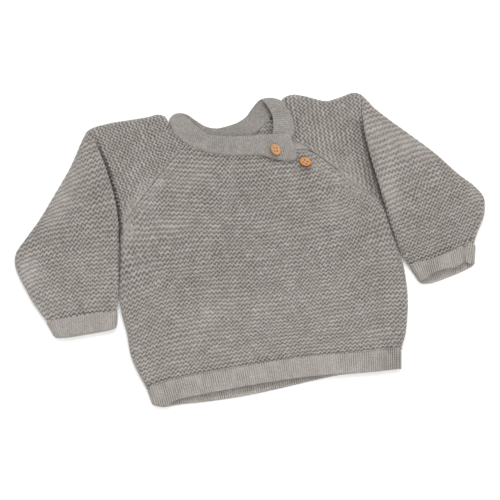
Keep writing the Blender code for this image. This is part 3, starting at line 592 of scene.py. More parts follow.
def mesh_object(name, places, faces, finish, depths=None, insides=None):
    """A smooth-shaded mesh from quads, where a quad that repeats its last corner is a triangle."""
    three = faces[:, 3] == faces[:, 2]
    kept = np.ones(faces.shape, bool)
    kept[three, 3] = False
    mesh = bpy.data.meshes.new(name)
    mesh.vertices.add(len(places))
    mesh.vertices.foreach_set("co", np.asarray(places, np.float32).ravel())
    mesh.loops.add(int(kept.sum()))
    mesh.loops.foreach_set("vertex_index", faces[kept].astype(np.int32))
    mesh.polygons.add(len(faces))
    starts = np.append(0, np.cumsum(kept.sum(1))[:-1])
    mesh.polygons.foreach_set("loop_start", starts.astype(np.int32))
    mesh.polygons.foreach_set("use_smooth", np.ones(len(faces), bool))
    mesh.update(calc_edges=True)
    mesh.validate()
    for attribute, values in (("pit", depths), ("inside", insides)):
        if values is not None:
            made = mesh.attributes.new(attribute, "FLOAT", "POINT")
            made.data.foreach_set("value", np.asarray(values, np.float32))
    mesh.materials.append(finish)
    made = bpy.data.objects.new(name, mesh)
    bpy.context.collection.objects.link(made)
    return made


def face_normals(places, faces):
    """Normals at the vertices of a mesh of quads."""
    a, b, c, d = (places[faces[:, k]] for k in range(4))
    flat = np.cross(c - a, d - b)
    normals = np.zeros_like(places)
    for k in range(4):
        for axis in range(3):
            normals[:, axis] += np.bincount(faces[:, k], flat[:, axis], len(places))
    return unit(normals)


def rim_edges(faces):
    """The edges that only one face has, in the order in which that face runs along them."""
    edges = np.concatenate([np.column_stack([faces[:, k], faces[:, (k + 1) % 4]]) for k in range(4)])
    low, high = edges.min(1).astype(np.int64), edges.max(1).astype(np.int64)
    key = low * (high.max() + 1) + high
    _, first, count = np.unique(key, return_index=True, return_counts=True)
    return edges[first[count == 1]]


# ---------------------------------------------------------------- skins of garter stitch


def trimmed_grid(outline, place_of, u, v):
    """Stitch places in a grid, cut to an outline: the vertices just outside are moved onto it."""
    across, along = np.meshgrid(u, v)
    plan = place_of(across, along).reshape(-1, 2)
    within = inside(plan, outline).reshape(across.shape)
    kept = within[:-1, :-1] | within[1:, :-1] | within[:-1, 1:] | within[1:, 1:]
    used = np.zeros(across.shape, bool)
    for rows in (slice(None, -1), slice(1, None)):
        for columns in (slice(None, -1), slice(1, None)):
            used[rows, columns] |= kept
    loose = (used & ~within).ravel()
    plan[loose] = nearest(plan[loose], np.concatenate([outline, outline[:1]]))[1]
    faces = quads((np.cumsum(used.ravel()) - 1).reshape(across.shape))[kept.ravel()]
    used = used.ravel()
    return plan[used], faces, across.ravel()[used], along.ravel()[used]


class Rows:
    """How the rows of a piece lie: at an angle, with the spacing of their ridges at some rises,
    and bent by a function of place. skew is how far its columns lean along the rows."""

    def __init__(self, origin, angle, samples, ridges, stitch=STITCH, bend=None, skew=0.0):
        turn = math.radians(angle)
        self.origin = np.array(origin, float)
        self.along = np.array([math.cos(turn), math.sin(turn)])
        self.across = np.array([-math.sin(turn), math.cos(turn)])
        self.samples, self.stitch, self.bend, self.skew = samples, stitch, bend, skew
        self.rise = np.arange(-90.0, 340.0)
        ridge = np.cumsum(1 / smooth(*np.array(ridges, float).T, self.rise))
        self.ridge = ridge - np.interp(0, self.rise, ridge)

    def grid(self, outline):
        """The stitch places that cover an outline, along the rows and from row to row."""
        off = outline - self.origin
        rise = off @ self.across
        u = (off @ self.along - self.skew * rise) / self.stitch
        margin = 0 if self.bend is None else 20
        low, high = np.interp((rise.min() - margin, rise.max() + margin), self.rise, self.ridge)
        return [
            np.arange(math.floor(start * count) - 1, math.ceil(end * count) + 2) / count
            for start, end, count in zip((u.min(), low), (u.max(), high), self.samples)
        ]

    def place(self, u, v):
        """Where stitch places lie on the garment."""
        rise = np.interp(v, self.ridge, self.rise)
        plan = self.origin + (u * self.stitch + self.skew * rise)[..., None] * self.along
        plan = plan + rise[..., None] * self.across
        if self.bend is not None:
            plan = plan + self.bend(plan[..., 0], plan[..., 1])[..., None] * self.across
        return plan


class Looks:
    """How the stitches look at each place of a layer: how strong their relief is, how plain and
    how soft they are, how deep the smooth columns beside a seam are, and how much shade is
    painted on them beside another piece and in creases, which is painted light where negative."""

    def __init__(self, count, strength):
        self.strength = np.full(count, strength)
        self.plain, self.soft, self.columns, self.shade = (np.zeros(count) for _ in range(4))


class Turn:
    """An edge where a layer turns over: its line, the height it turns to, how fully it turns, how
    wide the turn is and how much shade is painted on it beside another piece.

    Its flat line lies further out, by the cloth that goes round the turn.
    """

    def __init__(self, line, base, within, share=1.0, width=TURN, dark=0.0):
        along = unit(np.gradient(line, axis=0))
        inward = np.column_stack([-along[:, 1], along[:, 0]])
        if ((np.asarray(within) - line) * inward).sum() < 0:
            inward = -inward
        base, share, width, dark = (
            np.broadcast_to(value, len(line)) for value in (base, share, width, dark)
        )
        self.flat = line - inward * ((TURN_ARC - 1) * width * share)[:, None]
        self.sizes = np.column_stack([inward, base, share, width, dark])
        self.reach = TURN_ARC * width.max()

    def apply(self, flat, plan, top, looks):
        """Moves the places beside the edge round the turn, and presses their stitches together."""
        away, _, along = nearest(flat, self.flat)
        near = away < self.reach
        away = away[near]
        at, stations = along[near] * (len(self.flat) - 1), np.arange(len(self.flat))
        sizes = [np.interp(at, stations, column) for column in self.sizes.T]
        inward, (base, share, width, dark) = np.column_stack(sizes[:2]), sizes[2:]
        turned = np.minimum(away / (TURN_ARC * width), 1)
        angle = math.pi / 2 * turned
        shift = width * (1 - np.cos(angle) - TURN_ARC * turned + TURN_ARC - 1)
        plan[near] += inward * (shift * share)[:, None]
        top[near] += (base - top[near]) * (1 - np.sin(angle)) * share
        looks.strength[near] *= 1 - (0.45 - 0.45 * ease(away / 4)) * share
        stretched = 0.8 * (1 - ease(turned)) * share * (dark == 0)
        looks.plain[near] = np.maximum(looks.plain[near], stretched)
        # painted shade in the groove beside another piece
        looks.shade[near] += dark * (1 - ease(away / 4.2))


def form_of(height, turns=(), seams=(), band_seams=(), up=1.0, plain=(), soft=(), painted_shading=None):
    """A form for layer(): the height away from the edges, the edges that turn, the seams, the
    spots where the stitches are plain or soft, and the light and shade painted on it."""

    def form(flat):
        plan, x, high = flat.copy(), flat[:, 0], flat[:, 1]
        top = height(x, high)
        looks = Looks(len(flat), 1.0 if up > 0 else PRESSED)
        looks.plain += np.clip(folded(x, high, plain), 0, 1)
        looks.soft += np.clip(folded(x, high, soft), 0, 1)
        if painted_shading is not None:
            looks.shade += painted_shading(x, high)
        for line in seams:
            away = nearest(flat, line)[0]
            top = top - up * SEAM_SINK * (1 - quarter_round(away / SEAM_WIDTH))
            looks.strength *= 0.65 + 0.35 * ease((away - 0.8) / 3.5)
            looks.columns += 0.1 * (1 - np.cos(2 * np.pi * away / 2.4)) * (1 - ease((away - 2) / 3))
        for line in band_seams:
            away = nearest(flat, line)[0]
            top = top - up * BAND_SEAM_SINK * (1 - quarter_round(away / SEAM_WIDTH))
            looks.strength *= 1 + 0.25 * bell((away - 2.6) / 2.2)
        for turn in turns:
            turn.apply(flat, plan, top, looks)
        return np.column_stack([plan, top]), looks

    return form


def layer(outline, rows, form, up=1.0, seed=1, rim=RIM, within=0.0):
    """One layer of garter stitch: its places, its faces, how deep and how far inside they lie.

    rows says how its rows lie. form takes flat places and returns their places in space and how
    the stitches look there.
    """
    flat, faces, *knit = trimmed_grid(outline, rows.place, *rows.grid(outline))
    base, looks = form(flat)
    turn = np.linalg.det([np.append(rows.along, 0), np.append(rows.across, 0), (0, 0, 1)])
    if up * turn < 0:
        faces = faces[:, ::-1]
    normals = face_normals(base, faces)
    depth = garter(*knit, seed, looks.plain, looks.soft) * looks.strength + looks.columns
    places = base - normals * depth[:, None]
    edges = rim_edges(faces)
    rims = np.unique(edges)
    below = np.full(len(places), -1)
    below[rims] = len(places) + np.arange(len(rims))
    tucked = places[rims] - normals[rims] * rim
    sides = np.column_stack([edges[:, ::-1], below[edges]])
    places, faces = np.concatenate([places, tucked]), np.concatenate([faces, sides])
    # painted shade: darker the deeper a stitch place lies, plus the shade painted beside other pieces
    # and in creases, and a least painted shade on the tucked-in rim
    dark = depth / RIDGE_DEEP + looks.shade
    dark = np.append(dark, np.maximum(dark[rims], RIM_PAINTED_SHADE))
    return places, faces, dark, np.full(len(places), within)


def skin(name, finish, layers):
    """One piece from its layers."""
    starts = np.append(0, np.cumsum([len(made[0]) for made in layers]))
    moved = [(made[0], made[1] + start, *made[2:]) for made, start in zip(layers, starts)]
    places, faces, depths, insides = (np.concatenate(parts) for parts in zip(*moved))
    return mesh_object(name, on_frame(places), faces, finish, depths, insides)


# ---------------------------------------------------------------- the body


def neck_line(start, end):
    """Places along the neckband's seam."""
    at = np.linspace(start, end, max(3, int(abs(end - start) * 12)))
    return np.column_stack([look_up(NECK, column, at) for column in ("seam_x", "seam_up")])


def side_distance(x, up):
    """How far a place on the body is from the side, or from the underarm above it."""
    left, right = (look_up(BODY, side, up) for side in ("left", "right"))
    across = np.minimum(x - left, right - x)
    return np.hypot(np.maximum(across, 0), np.maximum(up - UNDERARM_UP, 0))


def front_top(x, up):
    """Height of the front's outer side, away from its edges."""
    distance = side_distance(x, up)
    middle, side = (look_up(LAY, column, up) for column in ("middle", "side"))
    top = middle + (side - middle) * (1 - ease((distance - 14) / 42))
    top = top - folded(x, up, FRONT_FOLDS) - dips(x, up, UNDERARM_DIPS)
    away = beside_line(x, up, *PLACKET_LIFT)[1]
    over_placket = 1 - ease(away / PLACKET_WIDTH - 1)
    return top + (PLACKET_LIFT_Z - top) * over_placket + GARTER / 2


def back_under(x, up):
    """Height of the back's underside: it lies on the table but for a few soft hollows."""
    return folded(x, up, BACK_FOLDS)


def body_bend(x, up):
    """How far the rows of the body rise or droop: they droop with the hem, at the two sides and
    around the middle, and higher up they rise towards both underarms and the left raglan."""
    with_hem = look_up(HEM, "seam_up", x) - HEM_MIDDLE_UP
    left = -14.5 * np.clip((-x - 80) / 46, 0, 1) ** 1.5 * (1 - ease((up - 92) / 60))
    right = -4 * np.clip((x - 98) / 32, 0, 1) ** 1.5
    middle = -5 * bell((x - 20) / np.where(x < 20, 50, 80))
    lifted = 0.16 * np.clip(-x - 22, 0, 62) * ease((up - 125) / 45)
    seam_lift = 9 * np.clip((-x - 84) / 22, 0, 1.4) ** 1.5 * bell((up - 194) / 22)
    hook = 7 * np.clip((-x - 97) / 20, 0, 1) ** 1.5 * bell((up - 174) / 20)
    rising = 0.32 * np.clip(x - 84, 0, 50) * bell((up - 150) / 26)
    rising = rising + 0.35 * np.clip(x - 90, 0, 50) * bell((up - 178) / 16)
    high = ease((up - 16) / 60)
    top = lifted + seam_lift
    return with_hem * (1 - high) + (left + right + middle + top + hook + rising + waver(x, up, 5)) * high


def body_rows(samples):
    """The rows of the front or the back, counted from the hem rib's seam."""
    return Rows((0, HEM_MIDDLE_UP), 0, samples, BODY_RIDGES, BODY_STITCH, body_bend)


def body_turns():
    """The two sides of the body, where its front turns over into its back."""
    ups = np.arange(-2, 172, 1.5)
    share = 1 - ease((ups - 152) / 16)
    # painted shade in the groove between the body's sides and the sleeves, from halfway up and most at
    # the underarm
    dark = 0.8 * ease((ups - 98) / 30) + 0.5 * bell((ups - 162) / 12)
    return [
        Turn(np.column_stack([look_up(BODY, side, ups), ups]), EDGE_Z, (0, 100), share, dark=dark)
        for side in ("left", "right")
    ]


def body_outline(turns, raglan_left, top, raglan_right):
    """The flat outline of the front or the back, from its left side over the neck to its right,
    and its lower edge."""
    left, right = (turn.flat[turn.flat[:, 1] < UNDERARM_UP] for turn in turns)
    left, right = (line[line[:, 1] > look_up(HEM, "seam_up", line[:, 0])] for line in (left, right))
    x = np.linspace(right[0, 0], left[0, 0], 160)
    bottom = np.column_stack([x, look_up(HEM, "seam_up", x)])
    return np.concatenate([left, raglan_left, top, raglan_right[::-1], right[::-1], bottom]), bottom


def painted_front_light(x, up):
    """Painted light: the front is made paler towards its hem, where it lies flattest, as if more light
    fell there.
    """
    return -0.09 * ease((128 - up) / 66) * (1 - 0.7 * ease((x - 70) / 40))


def front_panel(finish):
    """The front, whose edge at the buttons is free and lies over the placket."""
    sides = body_turns()
    left, edge = curve(FRONT_LEFT), curve(FRONT_EDGE)
    top = neck_line(NECK_FRONT_LEFT, NECK_TAB)
    outline, bottom = body_outline(sides, left, top, edge)
    sewn, free = edge[edge[:, 1] < FREE_FROM_UP], edge[edge[:, 1] > FREE_FROM_UP - FREE_RUN]
    share = ease((free[:, 1] - FREE_FROM_UP + FREE_RUN) / FREE_RUN)
    free_side = Turn(free, PLACKET_LIFT_Z - FREE_DROP, (40, 200), share, width=FREE_TURN)
    turns = (*sides, free_side)
    form = form_of(
        front_top, turns, (left, sewn), (top, bottom), 1.0, FRONT_PLAIN, FRONT_SOFT, painted_front_light
    )
    return skin("front_knit", finish, [layer(outline, body_rows(FRONT_SAMPLES), form, seed=11)])


def back_panel(finish):
    """The back: its underside, and the part of its inner side that shows through the neck."""
    turns = body_turns()
    left, right = curve(BACK_LEFT), curve(BACK_RIGHT)
    top = neck_line(NECK_BACK_LEFT, NECK_BACK_RIGHT)
    outline, bottom = body_outline(turns, left, top, right)
    form = form_of(back_under, turns, (left, right), (top, bottom), up=-1.0)
    under = layer(outline, body_rows(BACK_SAMPLES), form, up=-1.0, seed=23)
    inner_outline = np.concatenate([neck_line(NECK_INSIDE_FROM, NECK_BACK_RIGHT), INSIDE_SHOWN])
    inner_form = form_of(lambda x, up: np.full(len(x), GARTER))
    inner_rows = Rows((0, 240), 0, BACK_SAMPLES, EVEN_RIDGES)
    # its inner side is darkened by painted shade in the material
    inner = layer(inner_outline, inner_rows, inner_form, seed=29, rim=0.3, within=1.0)
    return skin("back_knit", finish, [under, inner])


# ---------------------------------------------------------------- the sleeves


def crease_rise(up):
    """How far a sleeve's edge stands over its cap, along the crease: none at the shoulder."""
    return ease((up - 162) / 14) * (1 - ease((up - 240) / 34))


class Sleeve:
    """A sleeve as it lies: its tube, and its cap, which runs on under the tube's edge.

    fan, arch and skew say how its rows lie. The cap's relief beside the crease is cap_hollow, and
    the shade painted on it there is cap_shade and, close to it, crease_shade. tone
    is the light painted on its tube elsewhere, which makes it paler.
    """

    def __init__(self, side, **sizes):
        vars(self).update(side=side, **sizes)
        self.inner, self.outer = curve(self.inner), curve(self.outer)
        self.cuff = np.array([self.inner[0], self.outer[0]])

    def tube_height(self, x, up):
        """Height of the front layer below the crease."""
        top = TUBE_Z - 1.7 * (1 - ease(away_from(self.cuff, x, up) / 34))
        shoulder = 1 - ease((up - 226) / 44)
        swollen = (0.4 + 1.3 * ease((up - 110) / 60)) * shoulder
        top = top + swollen * bell(away_from(self.inner, x, up) / 17)
        return top - (1 - shoulder) - folded(x, up, self.folds)

    def cap_height(self, x, up):
        """Height of the front layer above the crease, lower beside it."""
        off_crease = away_from(self.inner, x, up)
        hollow = 2.4 * bell(off_crease / 2.6) + self.cap_hollow * bell(off_crease / 13)
        dip = crease_rise(up) * hollow
        return CAP_Z - dip - dips(x, up, UNDERARM_DIPS) - folded(x, up, self.cap_folds)

    def back_height(self, x, up):
        """Height of the underside, with a hollow along the same crease."""
        crease = self.inner[self.inner[:, 1] > CREASE_UP + 8]
        hollow = 1.3 * bell(away_from(crease, x, up) / 4) * crease_rise(up)
        return hollow + folded(x, up, BACK_FOLDS)

    def cap_painted_shade(self, x, up):
        """Painted shade on the cap where it runs under the edge, more so between the edge's stitches."""
        off_crease = away_from(self.inner, x, up)
        bites = 0.5 + 0.5 * np.cos(2 * np.pi * up / 4.5 + 1.2 * lattice_noise(up / 9, up * 0, 9))
        narrow = self.crease_shade * (0.7 + 1.7 * bites) * bell(off_crease / (1.2 + 1.0 * bites))
        broad = self.cap_shade * bell(off_crease / 10) * (1 - 0.6 * ease((up - 196) / 30))
        return crease_rise(up) * (narrow + broad)

    def bend(self, x, up):
        """How far the rows of the tube lie off their straight lines: fanned out towards the
        shoulder, arched, and drooping beside the outer edge."""
        across = x - self.middle
        turned = math.tan(math.radians(self.fan)) * ease((up - 170) / 70) * across
        arched = -self.arch * across**2 * (1 - ease((up - 150) / 60))
        drooped = -3 * np.clip(1 - away_from(self.outer, x, up) / 14, 0, 1) ** 1.6
        return turned + arched + drooped + 0.8 * waver(x, up, 6)

    def turns(self, over):
        """The turns of the outer edge, and of the edge next to the body with its crease."""
        middle = (self.inner.mean(0) + self.outer.mean(0)) / 2
        inner = extended(self.inner, 12)
        high = inner[:, 1]
        if over:
            lift = EDGE_Z + (CREASE_Z - EDGE_Z) * ease((high - 158) / 14)
            share = 1 - ease((high - 244) / 26)
            width = TURN + (CREASE_TURN - TURN) * ease((high - 150) / 16)
            # painted shade in the groove beside the body, less where the edge lies over its cap
            dark = 0.8 * ease((high - 98) / 30) * (1 - 0.85 * ease((high - CREASE_UP) / 14)) * share
        else:
            lift, share, width, dark = EDGE_Z, 1 - ease((high - 156) / 10), TURN, 0.0
        outer = Turn(extended(self.outer, 12), EDGE_Z, middle)
        return outer, Turn(inner, lift, middle, share, width, dark)

    def cap_start(self, over):
        """Where the cap begins: along the crease, and on the front tucked under the edge."""
        crease = self.inner[self.inner[:, 1] > CREASE_UP]
        tuck = CREASE_TUCK * self.toward_tube * (1 - ease((crease[:, 1] - 225) / 35))
        return crease + np.outer(tuck, (1, 0)) * over

    def layers(self, over, raglan, neck, seed):
        """The tube and the cap of the front, or of the back."""
        up, samples = (1.0, SLEEVE_SAMPLES) if over else (-1.0, BACK_SAMPLES)
        raglan, seam = curve(raglan), neck_line(*neck)
        turns = self.turns(over)
        outer, inner = (turn.flat[1:] for turn in turns)
        top = int(nearest(np.array([self.shoulder]), self.outer)[2][0] * (len(self.outer) - 1))
        form = form_of(
            self.tube_height if over else self.back_height, turns, (), (self.cuff,), up,
            self.plain if over else (), (), self.tone,
        )
        rows = Rows(
            self.row_from, self.row_angle, samples, self.ridges, bend=self.bend, skew=self.skew
        )
        tube = layer(np.concatenate([outer[: top + 1], inner[::-1]]), rows, form, up, seed)
        form = form_of(
            self.cap_height if over else self.back_height, turns[:1], (raglan,), (seam,), up, (),
            self.cap_soft if over else (), self.cap_painted_shade if over else None,
        )
        rows = Rows(
            self.cap_from, self.cap_angle, samples, self.cap_ridges, CAP_STITCH,
            lambda x, up: 0.6 * waver(x, up, 7),
        )
        outline = np.concatenate([self.cap_start(over), outer[top:], seam, raglan[::-1]])
        return tube, layer(outline, rows, form, up, seed + 7)

    def make(self, finish):
        front = self.layers(True, self.front_raglan, self.front_neck, self.seed)
        back = self.layers(False, self.back_raglan, self.back_neck, self.seed + 40)
        return skin(f"{self.side}_sleeve_knit", finish, (*front, *back))


LEFT_SLEEVE = Sleeve(
    "left", inner=LEFT_INNER, outer=LEFT_OUTER, shoulder=(-141.0, 277.0), toward_tube=-1.0, seed=31,
    front_raglan=FRONT_LEFT, front_neck=(NECK_LEFT_FOLD, NECK_FRONT_LEFT),
    back_raglan=BACK_LEFT, back_neck=(NECK_LEFT_FOLD, NECK_BACK_LEFT),
    row_from=(-160, 88), row_angle=1.5, ridges=LEFT_RIDGES, folds=LEFT_FOLDS, plain=LEFT_PLAIN,
    middle=-158, fan=15, arch=0.0018, skew=0.04,
    cap_from=(-121, 169), cap_angle=-75, cap_ridges=LEFT_CAP_RIDGES, cap_folds=LEFT_CAP_FOLDS,
    cap_soft=LEFT_CAP_SOFT, cap_hollow=0.2, cap_shade=0.0, crease_shade=1.0,
    tone=lambda x, up: -0.08 * ease((176 - up) / 50),  # painted light: paler towards the cuff
)
RIGHT_SLEEVE = Sleeve(
    "right", inner=RIGHT_INNER, outer=RIGHT_OUTER, shoulder=(123.5, 280.5), toward_tube=1.0, seed=57,
    front_raglan=FRONT_RIGHT, front_neck=(NECK_RIGHT_FOLD, NECK_FRONT_RIGHT),
    back_raglan=BACK_RIGHT, back_neck=(NECK_RIGHT_FOLD, NECK_BACK_RIGHT),
    row_from=(168, 104), row_angle=17, ridges=RIGHT_RIDGES, folds=RIGHT_FOLDS, plain=RIGHT_PLAIN,
    middle=168, fan=0, arch=0, skew=0.2,
    cap_from=(121, 168), cap_angle=-91, cap_ridges=RIGHT_CAP_RIDGES, cap_folds=RIGHT_CAP_FOLDS,
    cap_soft=RIGHT_CAP_SOFT, cap_hollow=1.4, cap_shade=0.42, crease_shade=0.35, tone=None,
)


# ---------------------------------------------------------------- rib bands


def outer_side(along, across, middle, loops):
    """The normals on a band's outer side: upwards, or on a loop upwards where it lies highest."""
    normal = unit(np.cross(along, across))
    weight = middle[:, 2] - middle[:, 2].mean() if loops else np.ones(len(middle))
    return normal if (normal[:, 2] * weight).sum() > 0 else -normal


def band_wall(steps):
    """Once round the section of a band, from its seam over the outer side and the free edge to
    the inner side: the share of its width, how far past that, and which side, from 1 to -1."""
    t = np.linspace(0, 1, steps)
    arc = np.linspace(math.pi / 2, -math.pi / 2, 7)[1:-1]
    share = np.concatenate([t, np.ones(len(arc)), t[::-1]])
    past = np.concatenate([np.zeros(steps), np.cos(arc), np.zeros(steps)])
    side = np.concatenate([np.ones(steps), np.sin(arc), -np.ones(steps)])
    return share, past, side


def band_faces(rows, columns, closed):
    """The faces of a band's wall: its section closes on itself, and its ends are closed or meet."""
    number = numbered(rows, columns)
    if closed:
        return quads(np.concatenate([number, number[:1]]), around=True)
    first, last = (
        np.column_stack([ends[:-1], ends[1:], ends[::-1][1:], ends[::-1][:-1]])[: columns // 2 - 1]
        for ends in (number[0], number[-1])
    )
    return np.concatenate([quads(number, around=True), first[:, ::-1], last])


def strip(name, seam, free, finish, pitch, seed, samples, steps, closed=False, loops=False,
          underside=False, bulge=None, rounded_start=0.0, inner_ridge=0.0, bold=EVEN):
    """A rib band between its seam and its free edge, as a closed wall with ribs on both faces.

    seam and free are lines along the middle of its wall. Its ribs run from one to the other, and
    bulge says how far its middle swells out from the straight way between them. bold says how
    strong its ribs are, from its start to its end.
    """
    lines = (seam, free, np.zeros_like(seam) if bulge is None else bulge)
    run = run_along((seam + free) / 2)
    at = np.linspace(0, run[-1], int(round(run[-1] / (pitch / samples))) + 1)
    seam, free, swell = (placed_at(line, run, at)[: len(at) - closed] for line in lines)
    run = at[: len(at) - closed]
    across, middle = free - seam, (seam + free) / 2
    width = np.linalg.norm(across, axis=1)
    along = (np.roll(middle, -2, 0) - np.roll(middle, 2, 0)) if closed else np.gradient(middle, axis=0)
    normal = outer_side(along, across, middle, loops) * (-1 if underside else 1)
    half = RIB / 2
    narrowed = np.zeros(len(run))
    if rounded_start:
        off = np.clip(run / rounded_start, 0, 1)
        narrowed = rounded_start * (1 - np.sqrt(1 - (1 - off) ** 2)) / width
    round_t, past, side = band_wall(steps)
    first = narrowed - LAP / width
    share = first[:, None] + (1 - half / width - narrowed - first)[:, None] * round_t
    distance = share * width[:, None]
    strong = np.interp(run / run[-1], *np.transpose(bold))[:, None]
    depth = rib(run[:, None] / pitch + 0 * round_t, distance / RIB_STITCH, seed) * strong
    thin = (half - depth) / half
    seam_dip = BAND_DIP * (1 - quarter_round(distance / SEAM_WIDTH))
    seam_dip = seam_dip + LAP_DIP * np.clip(-distance / LAP, 0, 1)
    ridge = inner_ridge * bell((distance - 0.9) / 0.8)
    offset = half * side * thin - np.where(side > 0, seam_dip, ridge)
    places = seam[:, None] + across[:, None] * share[..., None]
    places = places + swell[:, None] * (4 * share * (1 - share))[..., None]
    places = places + unit(across)[:, None] * (half * past * thin)[..., None]
    places = places + normal[:, None] * offset[..., None]
    faces = band_faces(*places.shape[:2], closed)
    places = places.reshape(-1, 3)
    first, second, third = (places[faces[:, k]] for k in range(3))
    if np.einsum("ij,ij->i", first, np.cross(second, third)).sum() < 0:
        faces = faces[:, ::-1]
    # inner sides are painted as their material says: shaded in the neck, lit inside the cuffs and the
    # hems
    insides = np.broadcast_to(1.0 * (side < 0), depth.shape)
    # painted shade in the gutters between the ribs, and an even painted shade where the ribs are weak,
    # for the gutter shade they lose
    dark = depth / GUTTER + 0.35 * np.maximum(1 - strong, 0)
    return mesh_object(name, on_frame(places), faces, finish, dark.ravel(), insides.ravel())


def hem(name, edge, finish, underside, seed, bold):
    """The hem rib on the front or on the back of the body."""
    share = 0.5 - 0.5 * np.cos(np.linspace(0, math.pi, 600))
    ends = HEM["x"][[0, -1]]
    lines = []
    for column in ("seam_up", edge):
        low, high = look_up(HEM, column, ends)
        left = look_up(BODY, "left", low) + RIB / 2
        right = look_up(BODY, "right", high) - RIB / 2
        x = left + (right - left) * share
        reach = np.interp(x, [left, right], ends)
        lines.append(np.column_stack([x, look_up(HEM, column, reach)]))
    seam, free = lines
    distance = np.minimum(seam[:, 0] - seam[0, 0], seam[-1, 0] - seam[:, 0])
    turned = quarter_round(distance / HEM_TURN)
    tops = (RIB / 2, RIB / 2)
    if not underside:
        tops = (front_top(*seam.T) - RIB / 2 - HEM_BELOW, look_up(HEM, "front_z", free[:, 0]))
    seam, free = (
        np.column_stack([line, BAND_EDGE_Z + (top - BAND_EDGE_Z) * turned])
        for line, top in zip(lines, tops)
    )
    return strip(name, seam, free, finish, HEM_PITCH, seed, 5, 18, underside=underside, bold=bold)


def band_lines(band, count):
    """The seam and the free edge of a band from its table, and where each point lies in it."""
    at = np.linspace(band["at"][0], band["at"][-1], count)
    seam, free = (
        np.column_stack([look_up(band, line + axis, at) for axis in ("_x", "_up", "_z")])
        for line in ("seam", "edge")
    )
    return seam, free, at


def neckband(finish):
    """The neckband, which swells out where it folds over at the shoulders."""
    seam, free, at = band_lines(NECK, 900)
    bulge = sum(
        far * bell(at - fold)[:, None] * np.array([x, up, 0]) for fold, far, x, up in NECK_HUMPS
    )
    return strip("neck_rib", seam, free, finish, NECK_PITCH, 71, 5, 20, loops=True, bulge=bulge,
                 rounded_start=4.0, inner_ridge=0.8, bold=NECK_BOLD)


def cuff(name, band, finish, seed, bold):
    """A rib cuff: a short flat tube whose mouth is open as far as it lies."""
    seam, free, _ = band_lines(band, 600)
    return strip(name, seam, free, finish, CUFF_PITCH, seed, 6, 16, closed=True, loops=True, bold=bold)


def placket(finish):
    """The strip under the front's free edge, with its ribs running along it."""
    seam = curve(PLACKET_EDGE, 0.4)
    steps = np.linspace(-PLACKET_UNDER, PLACKET_WIDTH, 66)
    plan = seam[:, None] + np.array(PLACKET_ACROSS) * steps[:, None]
    depth = rib(steps[None, :] / PLACKET_PITCH, run_along(seam)[:, None] / RIB_STITCH, 83)
    top = PLACKET_Z + RIB / 2 - depth
    low = np.full(top.shape, PLACKET_Z - RIB / 2)
    upper, lower = (np.dstack([plan, z]).reshape(-1, 3) for z in (top, low))
    over = quads(numbered(*top.shape))[:, [0, 3, 2, 1]]
    if face_normals(upper, over)[:, 2].mean() < 0:
        over = over[:, ::-1]
    edges = rim_edges(over)
    sides = np.column_stack([edges[:, ::-1], edges + top.size])
    faces = np.concatenate([over, over[:, ::-1] + top.size, sides])
    edge = curve(FRONT_EDGE)
    off_edge = nearest(plan.reshape(-1, 2), edge[edge[:, 1] > FREE_FROM_UP])[0]
    # painted shade in the gutters between the ribs, and under the front's free edge
    dark = depth.ravel() / GUTTER + FREE_SHADE * bell(off_edge / FREE_SHADE_WIDTH)
    depths = np.append(dark, np.ones(top.size))
    places = np.concatenate([upper, lower])
    return mesh_object("placket_rib", on_frame(places), faces, finish, depths, 0 * depths)


# ---------------------------------------------------------------- buttons

# half of a button's section, from the middle of its underside to the middle of its top
BUTTON_PROFILE = (
    (0, 0), (4.2, 0), (4.9, 0.12), (5.35, 0.45), (5.62, 0.95), (5.7, 1.45), (5.62, 1.95), (5.4, 2.25),
    (5.05, 2.4), (4.7, 2.34), (4.4, 2.12), (4.1, 1.94), (3.6, 1.86), (2, 1.83), (0, 1.82),
)


def turning(x, up, z, lean_x, lean_up, turn):
    """The matrix that places a button on the garment, in metres."""
    lean = Euler((math.radians(-lean_up), math.radians(lean_x), 0)).to_matrix().to_4x4()
    spin = Matrix.Rotation(math.radians(turn), 4, "Z")
    return Matrix.Translation(Vector((x, up - ORIGIN_UP, z)) * MM) @ lean @ spin


def turned_wood(name, finish):
    """A turned button without its holes, darker round its side, partly for its end grain and partly as
    painted shade, and with painted shade in the groove of its rim.
    """
    profile = np.array(BUTTON_PROFILE, float)
    reach, height = profile[1:-1].T
    angle = np.linspace(0, 2 * math.pi, BUTTON_SIDES, endpoint=False)
    ring = np.column_stack([np.cos(angle), np.sin(angle)])
    wall = [np.column_stack([ring * r, np.full(BUTTON_SIDES, h)]) for r, h in zip(reach, height)]
    places = np.concatenate([*wall, profile[[0, -1]][:, [0, 0, 1]]])
    number = numbered(len(reach), BUTTON_SIDES)
    under, over = np.full(BUTTON_SIDES, number.size), np.full(BUTTON_SIDES, number.size + 1)
    caps = np.stack([
        np.column_stack([np.roll(number[0], -1), number[0], under, under]),
        np.column_stack([number[-1], np.roll(number[-1], -1), over, over]),
    ], axis=1)
    faces = np.concatenate([quads(number, around=True), caps.reshape(-1, 4)])
    # darker round the side, partly end grain and partly painted shade, and painted shade in the groove
    # of the rim
    worn = ease((reach - 4.95) / 0.55) + 0.3 * bell((reach - 4.25) / 0.25)
    dark = np.append(np.repeat(worn, BUTTON_SIDES), (0, 0))
    return mesh_object(name, places * MM, faces, finish, dark)


